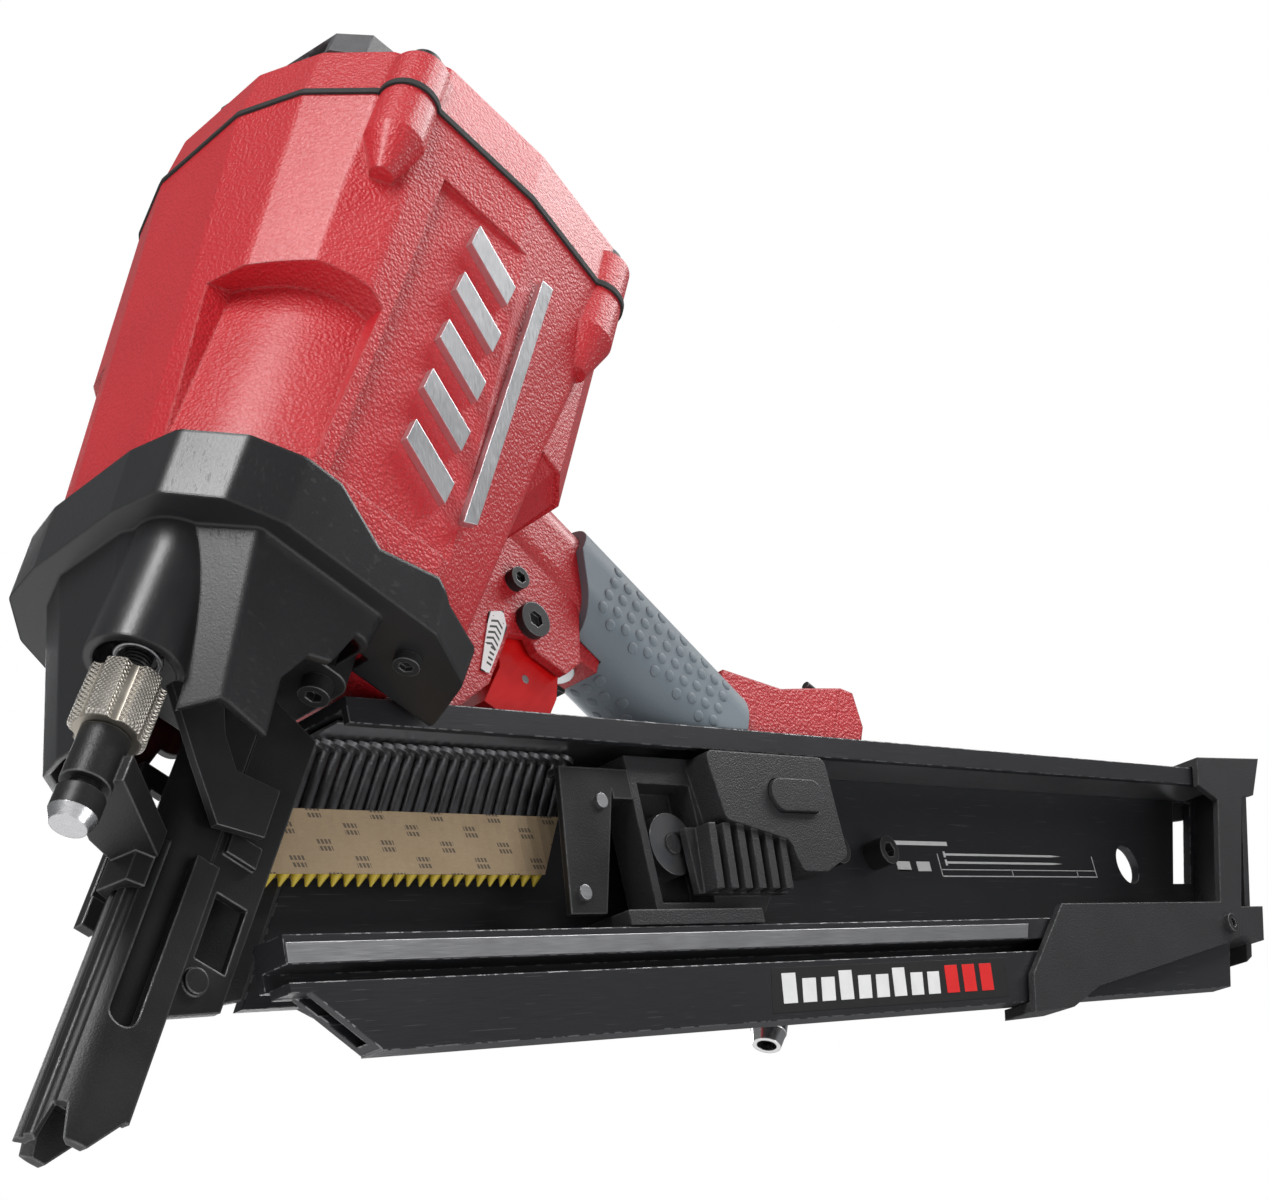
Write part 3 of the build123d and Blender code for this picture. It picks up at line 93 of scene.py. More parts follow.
class Finish:
    """A finish worked out in nodes, on one Principled shader."""

    def __init__(self, name, **constants):
        self.material = bpy.data.materials.new(name)
        self.material.use_nodes = True
        self.tree = self.material.node_tree
        self.tree.nodes.clear()
        self.shader = self.tree.nodes.new("ShaderNodeBsdfPrincipled")
        surface = self.tree.nodes.new("ShaderNodeOutputMaterial")
        self.tree.links.new(self.shader.outputs[0], surface.inputs[0])
        for socket, value in constants.items():
            self.shader.inputs[socket.replace("_", " ")].default_value = value
        self.place = self.node("ShaderNodeTexCoord", out="Object")

    def node(self, kind, settings=None, values=None, out=0):
        made = self.tree.nodes.new(kind)
        for name, value in (settings or {}).items():
            setattr(made, name, value)
        for socket, value in (values or {}).items():
            if isinstance(value, Wire):
                self.tree.links.new(value.socket, made.inputs[socket])
            else:
                made.inputs[socket].default_value = value
        return Wire(self, made.outputs[out])

    def feed(self, **wires):
        for socket, wire in wires.items():
            self.tree.links.new(wire.socket, self.shader.inputs[socket.replace("_", " ")])

    def noise(self, scale, detail=2.0, at=None):
        sockets = {"Vector": at or self.place, "Scale": scale, "Detail": detail}
        return self.node("ShaderNodeTexNoise", {}, sockets)

    def cells(self, scale, at=None):
        return self.node("ShaderNodeTexVoronoi", {"feature": "SMOOTH_F1"},
                         {"Vector": at or self.place, "Scale": scale, "Smoothness": 0.6})

    def turned(self, about_y, stretch=(1.0, 1.0, 1.0)):
        flat = self.node("ShaderNodeMapping", {}, {"Vector": self.place, "Rotation": (0.0, about_y, 0.0)})
        return self.node("ShaderNodeVectorMath", {"operation": "MULTIPLY"}, {0: flat, 1: stretch})

    def axes(self, at=None):
        parts = self.node("ShaderNodeSeparateXYZ", {}, {0: at or self.place})
        outs = parts.socket.node.outputs
        return [Wire(self, outs[i]) for i in range(3)]

    def mixed(self, mask, under, over):
        return self.node("ShaderNodeMix", {"data_type": "RGBA"}, {0: mask, 6: under, 7: over}, 2)

    def rounded(self, radius):
        return self.node("ShaderNodeBevel", {"samples": 4}, {"Radius": radius})

    def edges(self, radius, sharp=9.0):
        plain = self.node("ShaderNodeNewGeometry", out="Normal")
        facing = self.node("ShaderNodeVectorMath", {"operation": "DOT_PRODUCT"},
                           {0: self.rounded(radius), 1: plain}, "Value")
        return ((1.0 - facing) * sharp).lowest(1.0)

    def relief(self, height, distance, strength=1.0, radius=0.0004):
        return self.node("ShaderNodeBump", {}, {"Height": height, "Distance": distance,
                                                "Strength": strength, "Normal": self.rounded(radius)})


def dress(finish, *nodes):
    """Puts a finish on CAD nodes, in their own material slots."""
    for name in nodes:
        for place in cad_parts[name].material_slots:
            place.material = finish.material


def grey(level, blue=1.0):
    return (level, level, min(1.0, level * blue), 1.0)


red_coat = Finish("red_powder_coat", Specular_IOR_Level=0.5, Coat_Roughness=0.28)
pebble = red_coat.cells(1050.0)
fine_pebble = red_coat.noise(1900.0, 2.0)
blotch = red_coat.noise(38.0, 4.0)
thin_coat = red_coat.edges(0.0009) * (red_coat.noise(420.0, 3.0) > 0.52)
coat_red = red_coat.mixed(blotch, (0.40, 0.006, 0.012, 1.0), (0.52, 0.014, 0.022, 1.0))
coat_red = red_coat.mixed(pebble * 0.5, coat_red, (0.36, 0.004, 0.008, 1.0))
red_coat.feed(
    Base_Color=red_coat.mixed(thin_coat * 0.35, coat_red, (0.66, 0.10, 0.09, 1.0)),
    Roughness=0.33 + pebble * 0.18 + blotch * 0.06,
    Coat_Weight=0.25 + fine_pebble * 0.2,
    Normal=red_coat.relief(pebble + fine_pebble * 0.7, 0.00042, 0.8, 0.0012),
)
dress(red_coat, "main_housing", "cylinder_cap", "handle_end_cap")


# Side emblem.
# Two plain slanted bars, pressed from aluminium sheet, brushed along their length and
# bonded to the panel on each side of the body.

brushed_bars = Finish("brushed_aluminium", Metallic=1.0)
bar_lines = brushed_bars.noise(55.0, 3.0, brushed_bars.turned(math.radians(-63), (1.0, 60.0, 60.0)))
bar_smudge = brushed_bars.noise(60.0, 3.0)
brushed_bars.feed(
    Base_Color=brushed_bars.mixed(bar_lines, grey(0.58, 1.03), grey(0.86, 1.02)),
    Roughness=0.20 + bar_lines * 0.22 + bar_smudge * 0.10,
    Normal=brushed_bars.relief(bar_lines, 0.00006, 0.5, 0.0003),
)
dress(brushed_bars, "emblem")


# Cap gasket and the rubber seals.
# Moulded nitrile rubber: dull black, with the faint orange-peel of the mould.

rubber = Finish("moulded_rubber", Specular_IOR_Level=0.35)
rubber_peel = rubber.noise(900.0, 3.0)
rubber_dust = rubber.noise(70.0, 5.0)
rubber.feed(
    Base_Color=rubber.mixed(rubber_dust, grey(0.012), grey(0.030)),
    Roughness=0.62 + rubber_peel * 0.22,
    Normal=rubber.relief(rubber_peel, 0.00010, 0.5, 0.0004),
)
dress(rubber, "cap_gasket", "sleeve_seal", "bumper", "piston_ring")


# Bolts, screws and the small forged parts.
# Alloy steel with a black oxide finish, rubbed grey on the corners by the driver and by
# handling.

oxide_steel = Finish("black_oxide_steel", Specular_IOR_Level=0.5)
oxide_grain = oxide_steel.noise(1300.0, 3.0)
oxide_cloud = oxide_steel.noise(90.0, 4.0)
rubbed = oxide_steel.edges(0.0005, 12.0) * (0.35 + oxide_steel.noise(600.0, 3.0) * 0.9)
oxide_steel.feed(
    Base_Color=oxide_steel.mixed(rubbed.lowest(1.0),
                                 oxide_steel.mixed(oxide_cloud, grey(0.018), grey(0.040, 1.08)),
                                 grey(0.26, 1.02)),
    Metallic=0.55 + rubbed.lowest(1.0) * 0.4,
    Roughness=0.34 + oxide_cloud * 0.16 + oxide_grain * 0.10,
    Normal=oxide_steel.relief(oxide_grain, 0.00008, 0.45, 0.0004),
)
dress(oxide_steel, "cap_bolts", "deflector_screw", "nose_bolts", "shroud_screws", "end_cap_screws",
      "side_screw", "magazine_bolts", "end_bumper_screw", "trigger_rocker", "selector_knob",
      "stud_guide", "nose_latch")


# Exhaust deflector.
# Glass-filled nylon, moulded in charcoal grey. The fibres leave a dry, slightly streaked
# skin that goes pale where it is knocked.

nylon = Finish("charcoal_nylon", Specular_IOR_Level=0.45)
nylon_grain = nylon.noise(1100.0, 4.0)
nylon_flow = nylon.noise(60.0, 5.0, nylon.turned(0.6, (1.0, 3.5, 3.5)))
nylon_worn = nylon.edges(0.0010, 8.0) * (nylon.noise(300.0, 3.0) > 0.5)
nylon.feed(
    Base_Color=nylon.mixed(nylon_worn * 0.5, nylon.mixed(nylon_flow, grey(0.040, 1.08), grey(0.085, 1.06)),
                           grey(0.22, 1.03)),
    Roughness=0.42 + nylon_grain * 0.22,
    Normal=nylon.relief(nylon_grain + nylon_flow * 0.3, 0.00014, 0.5, 0.0009),
)
dress(nylon, "exhaust_deflector", "magazine_bracket")


# Handle grip.
# A sleeve of grey thermoplastic rubber, moulded over the handle casting. Rows of low round
# studs on its faces stop the hand from sliding.

GRIP_STUD_PITCH = 0.0056
GRIP_STUD_RADIUS = 0.0019
GRIP_STUD_RISE = 0.00055
GRIP_SLOPE = math.radians(-10.5)
GRIP_ROW_STEP = GRIP_STUD_PITCH * 0.92
SIDE_REACH = 0.0115
TOP_REACH = 0.0085
PLAIN_ENDS = 0.012
PROBE_FROM = 0.05

grip_skin = Finish("grey_grip_rubber", Specular_IOR_Level=0.4, Sheen_Weight=0.15, Sheen_Roughness=0.5)
skin_grain = grip_skin.noise(1700.0, 3.0)
skin_cloud = grip_skin.noise(45.0, 4.0)
skin_rub = grip_skin.edges(0.0008, 6.0)
grip_skin.feed(
    Base_Color=grip_skin.mixed(skin_rub * 0.5, grip_skin.mixed(skin_cloud, (0.125, 0.160, 0.185, 1.0),
                               (0.165, 0.200, 0.225, 1.0)), (0.25, 0.29, 0.31, 1.0)),
    Roughness=0.48 + skin_grain * 0.20 + skin_cloud * 0.06,
    Normal=grip_skin.relief(skin_grain, 0.00009, 0.5, 0.0006),
)
dress(grip_skin, "handle_grip")


def surface_of(node):
    """The CAD node's own faces, to set pieces down on them."""
    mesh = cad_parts[node].data
    return BVHTree.FromPolygons([v.co for v in mesh.vertices], [tuple(p.vertices) for p in mesh.polygons])


def add_dome(bm, centre, normal, radius, rise, sides=12):
    """A low rounded stud on a surface, its rim sunk a little into it."""
    turn = normal.to_track_quat("Z", "Y").to_matrix().to_4x4()
    set_down = Matrix.Translation(centre) @ turn
    rings = []
    for out, up in ((1.0, -0.25), (0.93, 0.30), (0.72, 0.72), (0.38, 0.95)):
        ring = []
        for i in range(sides):
            a = 2 * math.pi * i / sides
            rim_point = Vector((out * radius * math.cos(a), out * radius * math.sin(a), up * rise))
            ring.append(bm.verts.new(set_down @ rim_point))
        rings.append(ring)
    for low, high in zip(rings, rings[1:]):
        for i in range(sides):
            j = (i + 1) % sides
            bm.faces.new((low[i], low[j], high[j], high[i]))
    top = bm.verts.new(set_down @ Vector((0, 0, rise)))
    for i in range(sides):
        bm.faces.new((rings[-1][i], rings[-1][(i + 1) % sides], top))
    bm.faces.new(list(reversed(rings[0])))


def add_piece(name, bm, finish, body, smooth=True):
    """Makes an object from the mesh, gives it its finish and fixes it to its CAD body."""
    mesh = bpy.data.meshes.new(name)
    bm.to_mesh(mesh)
    bm.free()
    mesh.polygons.foreach_set("use_smooth", [smooth] * len(mesh.polygons))
    piece = bpy.data.objects.new(name, mesh)
    bpy.context.scene.collection.objects.link(piece)
    mesh.materials.append(finish.material)
    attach(piece, body)
    return piece


grip_faces = surface_of("handle_grip")
grip_low, grip_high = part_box("handle_grip")
grip_mid = (grip_low + grip_high) / 2
along = Vector((math.cos(GRIP_SLOPE), 0, math.sin(GRIP_SLOPE)))
across = Vector((-along.z, 0, along.x))
studs = bmesh.new()
rows = int((grip_high.x - grip_low.x) / 2 / GRIP_STUD_PITCH)
for i in range(-rows, rows + 1):
    for j in range(-4, 5):
        shift = GRIP_STUD_PITCH / 2 if i % 2 else 0.0
        for aim in (Vector((0, -1, 0)), Vector((0, 1, 0)), -across, across):
            side_step = across if abs(aim.y) > 0.5 else Vector((0, 1, 0))
            reach = SIDE_REACH if abs(aim.y) > 0.5 else TOP_REACH
            off = j * GRIP_STUD_PITCH + shift
            if abs(off) > reach:
                continue
            middle = grip_mid + along * (i * GRIP_ROW_STEP)
            start = middle + side_step * off + aim * PROBE_FROM
            hit, normal, _, _ = grip_faces.ray_cast(start, -aim, PROBE_FROM + 0.01)
            if hit is None or normal.dot(aim) < 0.9:
                continue
            if not grip_low.x + PLAIN_ENDS < hit.x < grip_high.x - PLAIN_ENDS:
                continue
            if (hit - middle).dot(aim) < PLAIN_ENDS:
                continue
            add_dome(studs, hit, normal, GRIP_STUD_RADIUS, GRIP_STUD_RISE)
add_piece("grip_studs", studs, grip_skin, "tool_body")


# Trigger.
# Moulded in one piece from glossy red acetal. The moulding shows faint flow and is
# polished on the finger face.

acetal = Finish("glossy_red_acetal", Specular_IOR_Level=0.55, Coat_Roughness=0.08)
acetal_flow = acetal.noise(120.0, 3.0, acetal.turned(1.1, (1.0, 2.0, 4.0)))
acetal_peel = acetal.noise(900.0, 2.0)
acetal.feed(
    Base_Color=acetal.mixed(acetal_flow, (0.62, 0.004, 0.006, 1.0), (0.78, 0.012, 0.012, 1.0)),
    Roughness=0.16 + acetal_flow * 0.12,
    Coat_Weight=0.5 + acetal_peel * 0.2,
    Normal=acetal.relief(acetal_peel, 0.00005, 0.4, 0.0006),
)
dress(acetal, "trigger")


# Trigger label.
# White printed film beside the trigger, with plain marks for the two firing modes: arrows
# and dots in black inside a thin black border.

LABEL_X = (0.0605, 0.0678)
LABEL_Z = (0.162, 0.1855)

film = Finish("printed_label_film", Specular_IOR_Level=0.5, Coat_Roughness=0.1)
film_x, film_y, film_z = film.axes()
film_u = (film_x - LABEL_X[0]) / (LABEL_X[1] - LABEL_X[0])
film_v = (film_z - LABEL_Z[0]) / (LABEL_Z[1] - LABEL_Z[0])
border = ((abs(film_u - 0.5) > 0.43) + (abs(film_v - 0.5) > 0.475)).lowest(1.0)
dots = (abs(film_v - 0.26) < 0.16) * (film_v.zigzag(0.08) < 0.42) * (abs(film_u - 0.62) < 0.12)
chevrons = (abs(film_v - 0.62) < 0.22) * ((film_v + abs(film_u - 0.5) * 0.2).zigzag(0.09) < 0.4)
chevrons = chevrons * (abs(film_u - 0.5) < 0.30)
ink = (border + dots + chevrons).lowest(1.0)
film_grain = film.noise(1500.0, 2.0)
film.feed(
    Base_Color=film.mixed(ink, film.mixed(film.noise(200.0, 3.0), grey(0.74), grey(0.84)), grey(0.03)),
    Roughness=0.26 + film_grain * 0.10 + ink * 0.08,
    Coat_Weight=0.3 + film_grain * 0.1,
    Normal=film.relief(film_grain * 0.4 + ink, 0.00002, 0.5, 0.0002),
)
dress(film, "trigger_label")


# Lower shroud.
# A thick polyurethane moulding that wraps the bottom of the body and the nose. It is satin
# black, a little scuffed, with a soft texture from the tool steel of its mould.

satin = Finish("satin_black_shroud", Specular_IOR_Level=0.5)
satin_grain = satin.noise(1500.0, 2.0)
satin_cloud = satin.noise(26.0, 4.0)
scuffs = satin.noise(320.0, 4.0, satin.turned(0.9, (1.0, 9.0, 1.0))) > 0.63
satin.feed(
    Base_Color=satin.mixed(satin_cloud, grey(0.0075, 1.1), grey(0.016, 1.1)),
    Roughness=0.22 + satin_cloud * 0.12 + satin_grain * 0.08 + scuffs * 0.08,
    Normal=satin.relief(satin_grain, 0.00007, 0.35, 0.0012),
)
dress(satin, "lower_shroud")


# Nose, its cover plate and the work contact.
# The nose is an investment casting in alloy steel, and the foot, arm and link are pressed
# from plate. All are phosphated black and oiled, and polish through where they slide.

phosphate = Finish("oiled_black_phosphate", Specular_IOR_Level=0.5)
oil = phosphate.noise(55.0, 5.0)
crystal = phosphate.cells(2200.0)
slid = phosphate.edges(0.0008, 10.0) * (0.3 + phosphate.noise(500.0, 3.0))
phosphate.feed(
    Base_Color=phosphate.mixed(slid.lowest(1.0) * 0.8, phosphate.mixed(oil, grey(0.014), grey(0.034, 1.05)),
                               grey(0.28)),
    Metallic=0.60 + slid.lowest(1.0) * 0.3,
    Roughness=0.28 + oil * 0.20 + crystal * 0.12,
    Normal=phosphate.relief(crystal + oil * 0.5, 0.00008, 0.5, 0.0007),
)
dress(phosphate, "nose_body", "front_plate", "contact_foot", "contact_arm", "contact_link", "pusher_plate")


# Depth stud.
# The threaded stud of the depth stop: black oxide steel with a fine thread, and a polished
# domed end that the wheel can't be wound off.

stud_low, stud_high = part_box("depth_stud")
STUD_POLISHED = stud_low.z + 0.0030
STUD_THREAD_PITCH = 0.0010
STUD_PLAIN_BELOW = 0.0640

stud_steel = Finish("black_stud_steel", Specular_IOR_Level=0.5)
stud_z = stud_steel.axes()[2]
stud_grain = stud_steel.noise(900.0, 3.0)
polished = (stud_z < STUD_POLISHED) * (0.75 + stud_grain * 0.25)
thread = stud_z.zigzag(STUD_THREAD_PITCH) * (stud_z > STUD_PLAIN_BELOW)
stud_steel.feed(
    Base_Color=stud_steel.mixed(polished, stud_steel.mixed(stud_grain, grey(0.016), grey(0.034)),
                                grey(0.60, 1.02)),
    Metallic=0.60 + polished * 0.4,
    Roughness=0.34 + stud_grain * 0.14 - polished * 0.16,
    Normal=stud_steel.relief(thread + stud_grain * 0.2, 0.00030, 0.7, 0.0004),
)
dress(stud_steel, "depth_stud")


# Depth wheel.
# Turned steel, zinc plated, with a crossed knurl on its rim. It screws up and down the stud
# to set how far the work contact runs.

wheel_low, wheel_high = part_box("depth_wheel")
wheel_axis = (wheel_low + wheel_high) / 2
KNURL_COUNT = 46
KNURL_PITCH = 0.0012
KNURL_INSIDE_R = 0.0078

knurled = Finish("knurled_steel", Metallic=1.0)
wheel_x, wheel_y, wheel_z = knurled.axes()
out_x = wheel_x - wheel_axis.x
out_y = wheel_y - wheel_axis.y
round_turn = out_x.math("ARCTAN2", out_y, out_x) * (KNURL_COUNT / (2 * math.pi))
rim = (out_x * out_x + out_y * out_y) > KNURL_INSIDE_R ** 2
climb = wheel_z * (1 / KNURL_PITCH)
knurl = (round_turn + climb).zigzag(1.0).lowest((round_turn - climb).zigzag(1.0)) * rim
wheel_stain = knurled.noise(150.0, 3.0)
knurled.feed(
    Base_Color=knurled.mixed(knurl, knurled.mixed(wheel_stain, (0.30, 0.27, 0.23, 1), (0.50, 0.46, 0.40, 1)),
                             (0.78, 0.75, 0.70, 1)),
    Roughness=0.24 + wheel_stain * 0.16 + (1 - knurl) * 0.10,
    Normal=knurled.relief(knurl, 0.00035, 0.9, 0.0003),
)
dress(knurled, "depth_wheel")


# Magazine channel.
# One long aluminium extrusion, cut to length, brushed and anodised black. The two feed
# edges are bare steel strips slid into it.

MAG_ANGLE = math.radians(30.5)

anodised = Finish("black_anodised_aluminium", Specular_IOR_Level=0.5)
drawn = anodised.noise(90.0, 3.0, anodised.turned(MAG_ANGLE, (1.0, 55.0, 55.0)))
hazy = anodised.noise(30.0, 4.0)
scratch = anodised.noise(420.0, 2.0, anodised.turned(MAG_ANGLE, (0.12, 6.0, 6.0))) > 0.70
bare_edge = anodised.edges(0.0006, 10.0) * (anodised.noise(260.0, 3.0) > 0.5)
anodised.feed(
    Base_Color=anodised.mixed((bare_edge * 0.7 + scratch * 0.10).lowest(1.0),
                              anodised.mixed(drawn, grey(0.014, 1.15), grey(0.028, 1.15)), grey(0.42, 1.02)),
    Metallic=0.35 + bare_edge * 0.5,
    Roughness=0.26 + drawn * 0.16 + hazy * 0.10,
    Normal=anodised.relief(drawn, 0.00005, 0.5, 0.0005),
)
dress(anodised, "magazine_channel")


# Feed strips, driver blade and small ground parts.
# Hardened spring steel strip, ground along its length and left bright under a film of oil.

bright = Finish("ground_bright_steel", Metallic=1.0)
grind = bright.noise(120.0, 3.0, bright.turned(MAG_ANGLE, (1.0, 50.0, 50.0)))
tarnish = bright.noise(75.0, 5.0)
bright.feed(
    Base_Color=bright.mixed(grind, bright.mixed(tarnish, grey(0.36, 1.04), grey(0.52, 1.03)),
                            grey(0.72, 1.02)),
    Roughness=0.20 + grind * 0.18 + tarnish * 0.10,
    Normal=bright.relief(grind, 0.00005, 0.5, 0.0003),
)
dress(bright, "wear_rail", "head_guide", "driver_blade", "trigger_pin", "rocker_pin", "pusher_rivets",
      "valve_stem", "inlet_screen")


# Printing on the magazine.
# White ink on the web, behind the two bolts: an outline of a nail and plain scale lines. On
# the fin a gloss strip carries a row of slanted bars, white then red.

FIN_FACE_Y = -0.0190
WEB_FACE_Y = 0.0065
INK_THICK = 0.00009


def mag_point(s, y, h):
    """A point given along the magazine, across it and up from its lower line."""
    return Vector((s * math.cos(MAG_ANGLE) - h * math.sin(MAG_ANGLE), y,
                   s * math.sin(MAG_ANGLE) + h * math.cos(MAG_ANGLE)))


def add_patch(bm, outline, face_y, thick):
    """A thin raised patch on a face that looks towards -Y, from an outline in (s, h)."""
    near = [bm.verts.new(mag_point(s, face_y - thick, h)) for s, h in outline]
    far = [bm.verts.new(mag_point(s, face_y + 0.00003, h)) for s, h in outline]
    bm.faces.new(near)
    bm.faces.new(list(reversed(far)))
    for i in range(len(outline)):
        j = (i + 1) % len(outline)
        bm.faces.new((near[j], near[i], far[i], far[j]))


def bar(s0, s1, h0, h1, slant=0.0):
    return [(s0, h0), (s1, h0), (s1 + slant, h1), (s0 + slant, h1)]


def print_finish(name, low, high):
    """Screen ink: slightly uneven in tone, with the roughness of a thin dry film."""
    made = Finish(name, Specular_IOR_Level=0.4)
    spots = made.noise(1500.0, 3.0)
    wash = made.noise(160.0, 3.0)
    made.feed(Base_Color=made.mixed(wash, low, high), Roughness=0.36 + spots * 0.2,
              Normal=made.relief(spots, 0.00002, 0.5, 0.0001))
    return made


white_ink = print_finish("white_ink", grey(0.60), grey(0.76))
red_ink = print_finish("red_ink", (0.55, 0.010, 0.012, 1.0), (0.68, 0.020, 0.018, 1.0))
gloss_strip = print_finish("black_gloss_strip", grey(0.006), grey(0.012))

PRINT_LEFT = 0.338
SCALE_LEFT = 0.364
SCALE_RIGHT = 0.470
SCALE_H = (0.0545, 0.0549, 0.0570, 0.0573)
TICK_WIDTH = 0.0004
NAIL_ROWS = (0.0598, 0.0628)
NAIL_HEAD_S = (0.368, 0.3692)
NAIL_POINT_S = (0.440, 0.447)

web_marks = bmesh.new()
blocks = [(PRINT_LEFT, 0.372, 0.0660, 0.0675), (PRINT_LEFT, 0.346, 0.0565, 0.0600),
          (PRINT_LEFT, 0.346, 0.0565, 0.0570), (0.350, 0.358, 0.0565, 0.0600)]
blocks += [(SCALE_LEFT, SCALE_RIGHT, SCALE_H[k], SCALE_H[k + 1]) for k in (0, 2)]
for tick, top in ((SCALE_LEFT, 0.0630), (0.410, SCALE_H[3]), (0.456, SCALE_H[3]), (SCALE_RIGHT, 0.0630)):
    blocks.append((tick, tick + TICK_WIDTH, SCALE_H[0], top))
for block in blocks:
    add_patch(web_marks, bar(*block), WEB_FACE_Y, INK_THICK)
for row in NAIL_ROWS:
    add_patch(web_marks, bar(*NAIL_HEAD_S, row - 0.0011, row + 0.0011), WEB_FACE_Y, INK_THICK)
    shank = [(NAIL_HEAD_S[1], row - 0.0004), (NAIL_POINT_S[0], row - 0.0004), (NAIL_POINT_S[1], row),
             (NAIL_POINT_S[0], row + 0.0004), (NAIL_HEAD_S[1], row + 0.0004)]
    add_patch(web_marks, shank, WEB_FACE_Y, INK_THICK)
add_piece("web_printing", web_marks, white_ink, "tool_body", smooth=False)

STRIP_S = (0.220, 0.345)
STRIP_H = (0.0052, 0.0185)
BAR_LOW = 0.0078
BAR_HIGH = 0.0168
SHORT_BAR_HIGH = 0.0150
BAR_LEAN = 0.002
BAR_FACE_Y = FIN_FACE_Y - INK_THICK

strip = bmesh.new()
add_patch(strip, bar(*STRIP_S, *STRIP_H, 2 * BAR_LEAN), FIN_FACE_Y, INK_THICK)
add_piece("fin_strip", strip, gloss_strip, "tool_body", smooth=False)


def add_bar_row(name, ink, count, first_s, pitch, width, short):
    """A row of slanted bars on the strip; short tells which of them are lower."""
    row_mesh = bmesh.new()
    for k in range(count):
        left = first_s + k * pitch
        top = SHORT_BAR_HIGH if short(k) else BAR_HIGH
        add_patch(row_mesh, bar(left, left + width, BAR_LOW, top, BAR_LEAN), BAR_FACE_Y, INK_THICK)
    add_piece(name, row_mesh, ink, "tool_body", smooth=False)


add_bar_row("fin_bars_white", white_ink, 9, 0.226, 0.0092, 0.0065, lambda k: k % 3 != 0)
add_bar_row("fin_bars_red", red_ink, 3, 0.310, 0.0100, 0.0070, lambda k: False)


# Nails.
# Drawn steel wire with clipped heads, bright where they were cut and dark on the shank, the
# last few millimetres dipped in yellow resin so that they drive more easily.

NAIL_TIP_H = 0.0491
DIP_LENGTH = 0.0040
HEAD_FROM_TIP = 0.0418
RING_PITCH = 0.0011

wire = Finish("collated_nail_steel", Specular_IOR_Level=0.5)
wire_s, wire_y, wire_h = wire.axes(wire.turned(MAG_ANGLE))
wire_ring = wire_h.zigzag(RING_PITCH)
wire_dirt = wire.noise(260.0, 4.0)
dipped = wire_h < (NAIL_TIP_H + DIP_LENGTH)
headed = wire_h > (NAIL_TIP_H + HEAD_FROM_TIP)
wire_steel = wire.mixed(wire_dirt, grey(0.10, 1.02), grey(0.22, 1.03))
wire_steel = wire.mixed(headed, wire_steel, grey(0.46, 1.02))
wire.feed(
    Base_Color=wire.mixed(dipped, wire_steel,
                          wire.mixed(wire_dirt, (0.50, 0.36, 0.03, 1), (0.68, 0.52, 0.06, 1))),
    Metallic=0.95 - dipped * 0.9,
    Roughness=0.26 + wire_dirt * 0.18 + dipped * 0.12,
    Normal=wire.relief(wire_ring * (1 - headed) + wire_dirt * 0.4, 0.00006, 0.5, 0.0002),
)
dress(wire, "nails")


# Paper tape.
# Two layers of brown kraft paper glued over the shanks. The nails show through as soft
# ridges, and small dark marks are printed over it in staggered rows.

NAIL_PITCH = 0.0042
MARK_ROW = 0.0044
MARK_REPEAT = 0.0210
STROKE_REPEAT = 0.00125

kraft = Finish("kraft_paper_tape", Specular_IOR_Level=0.25)
kraft_s, kraft_y, kraft_h = kraft.axes(kraft.turned(MAG_ANGLE))
fibre = kraft.noise(700.0, 5.0, kraft.turned(MAG_ANGLE, (1.0, 1.0, 3.0)))
pulp = kraft.noise(90.0, 4.0)
ridge = kraft_s.zigzag(NAIL_PITCH)
row_number = kraft_h.math("FLOOR", kraft_h / MARK_ROW)
row_shift = row_number.math("MODULO", row_number, 2.0) * (MARK_REPEAT / 2)
mark_s = (kraft_s + row_shift + kraft_h * 0.25).zigzag(MARK_REPEAT)
mark_h = kraft_h.zigzag(MARK_ROW)
dash = (mark_s < 0.22) * (mark_h > 0.30) * (mark_h < 0.86)
gaps = (kraft_s + kraft_h * 0.4).zigzag(STROKE_REPEAT) > 0.34
mark = dash * gaps
kraft.feed(
    Base_Color=kraft.mixed(mark * 0.75, kraft.mixed((fibre + pulp) * 0.5, (0.30, 0.21, 0.125, 1),
                           (0.47, 0.36, 0.235, 1)), (0.05, 0.045, 0.045, 1)),
    Roughness=0.72 + fibre * 0.18,
    Normal=kraft.relief(fibre * 0.5 + ridge * 1.5, 0.00016, 0.6, 0.0002),
)
dress(kraft, "paper_tape")


# Feeder, magazine end bumper and other black mouldings.
# Glass-filled nylon in black from a spark-eroded mould, so the skin is grainy and catches
# the light in small points.

grainy = Finish("grainy_black_nylon", Specular_IOR_Level=0.5)
spark = grainy.cells(1900.0)
spark_fine = grainy.noise(3200.0, 2.0)
grainy_cloud = grainy.noise(50.0, 4.0)
grainy_worn = grainy.edges(0.0008, 7.0) * (grainy.noise(350.0, 3.0) > 0.48)
grainy.feed(
    Base_Color=grainy.mixed(grainy_worn * 0.35,
                            grainy.mixed(grainy_cloud, grey(0.010, 1.1), grey(0.022, 1.1)),
                            grey(0.12, 1.05)),
    Roughness=0.36 + spark * 0.20,
    Normal=grainy.relief(spark + spark_fine * 0.6, 0.00018, 0.6, 0.0007),
)
dress(grainy, "feeder_carriage", "feeder_button", "end_bumper", "spring_roller", "head_valve")


# Springs.
# Round and flat music wire, blued when it is stress-relieved.

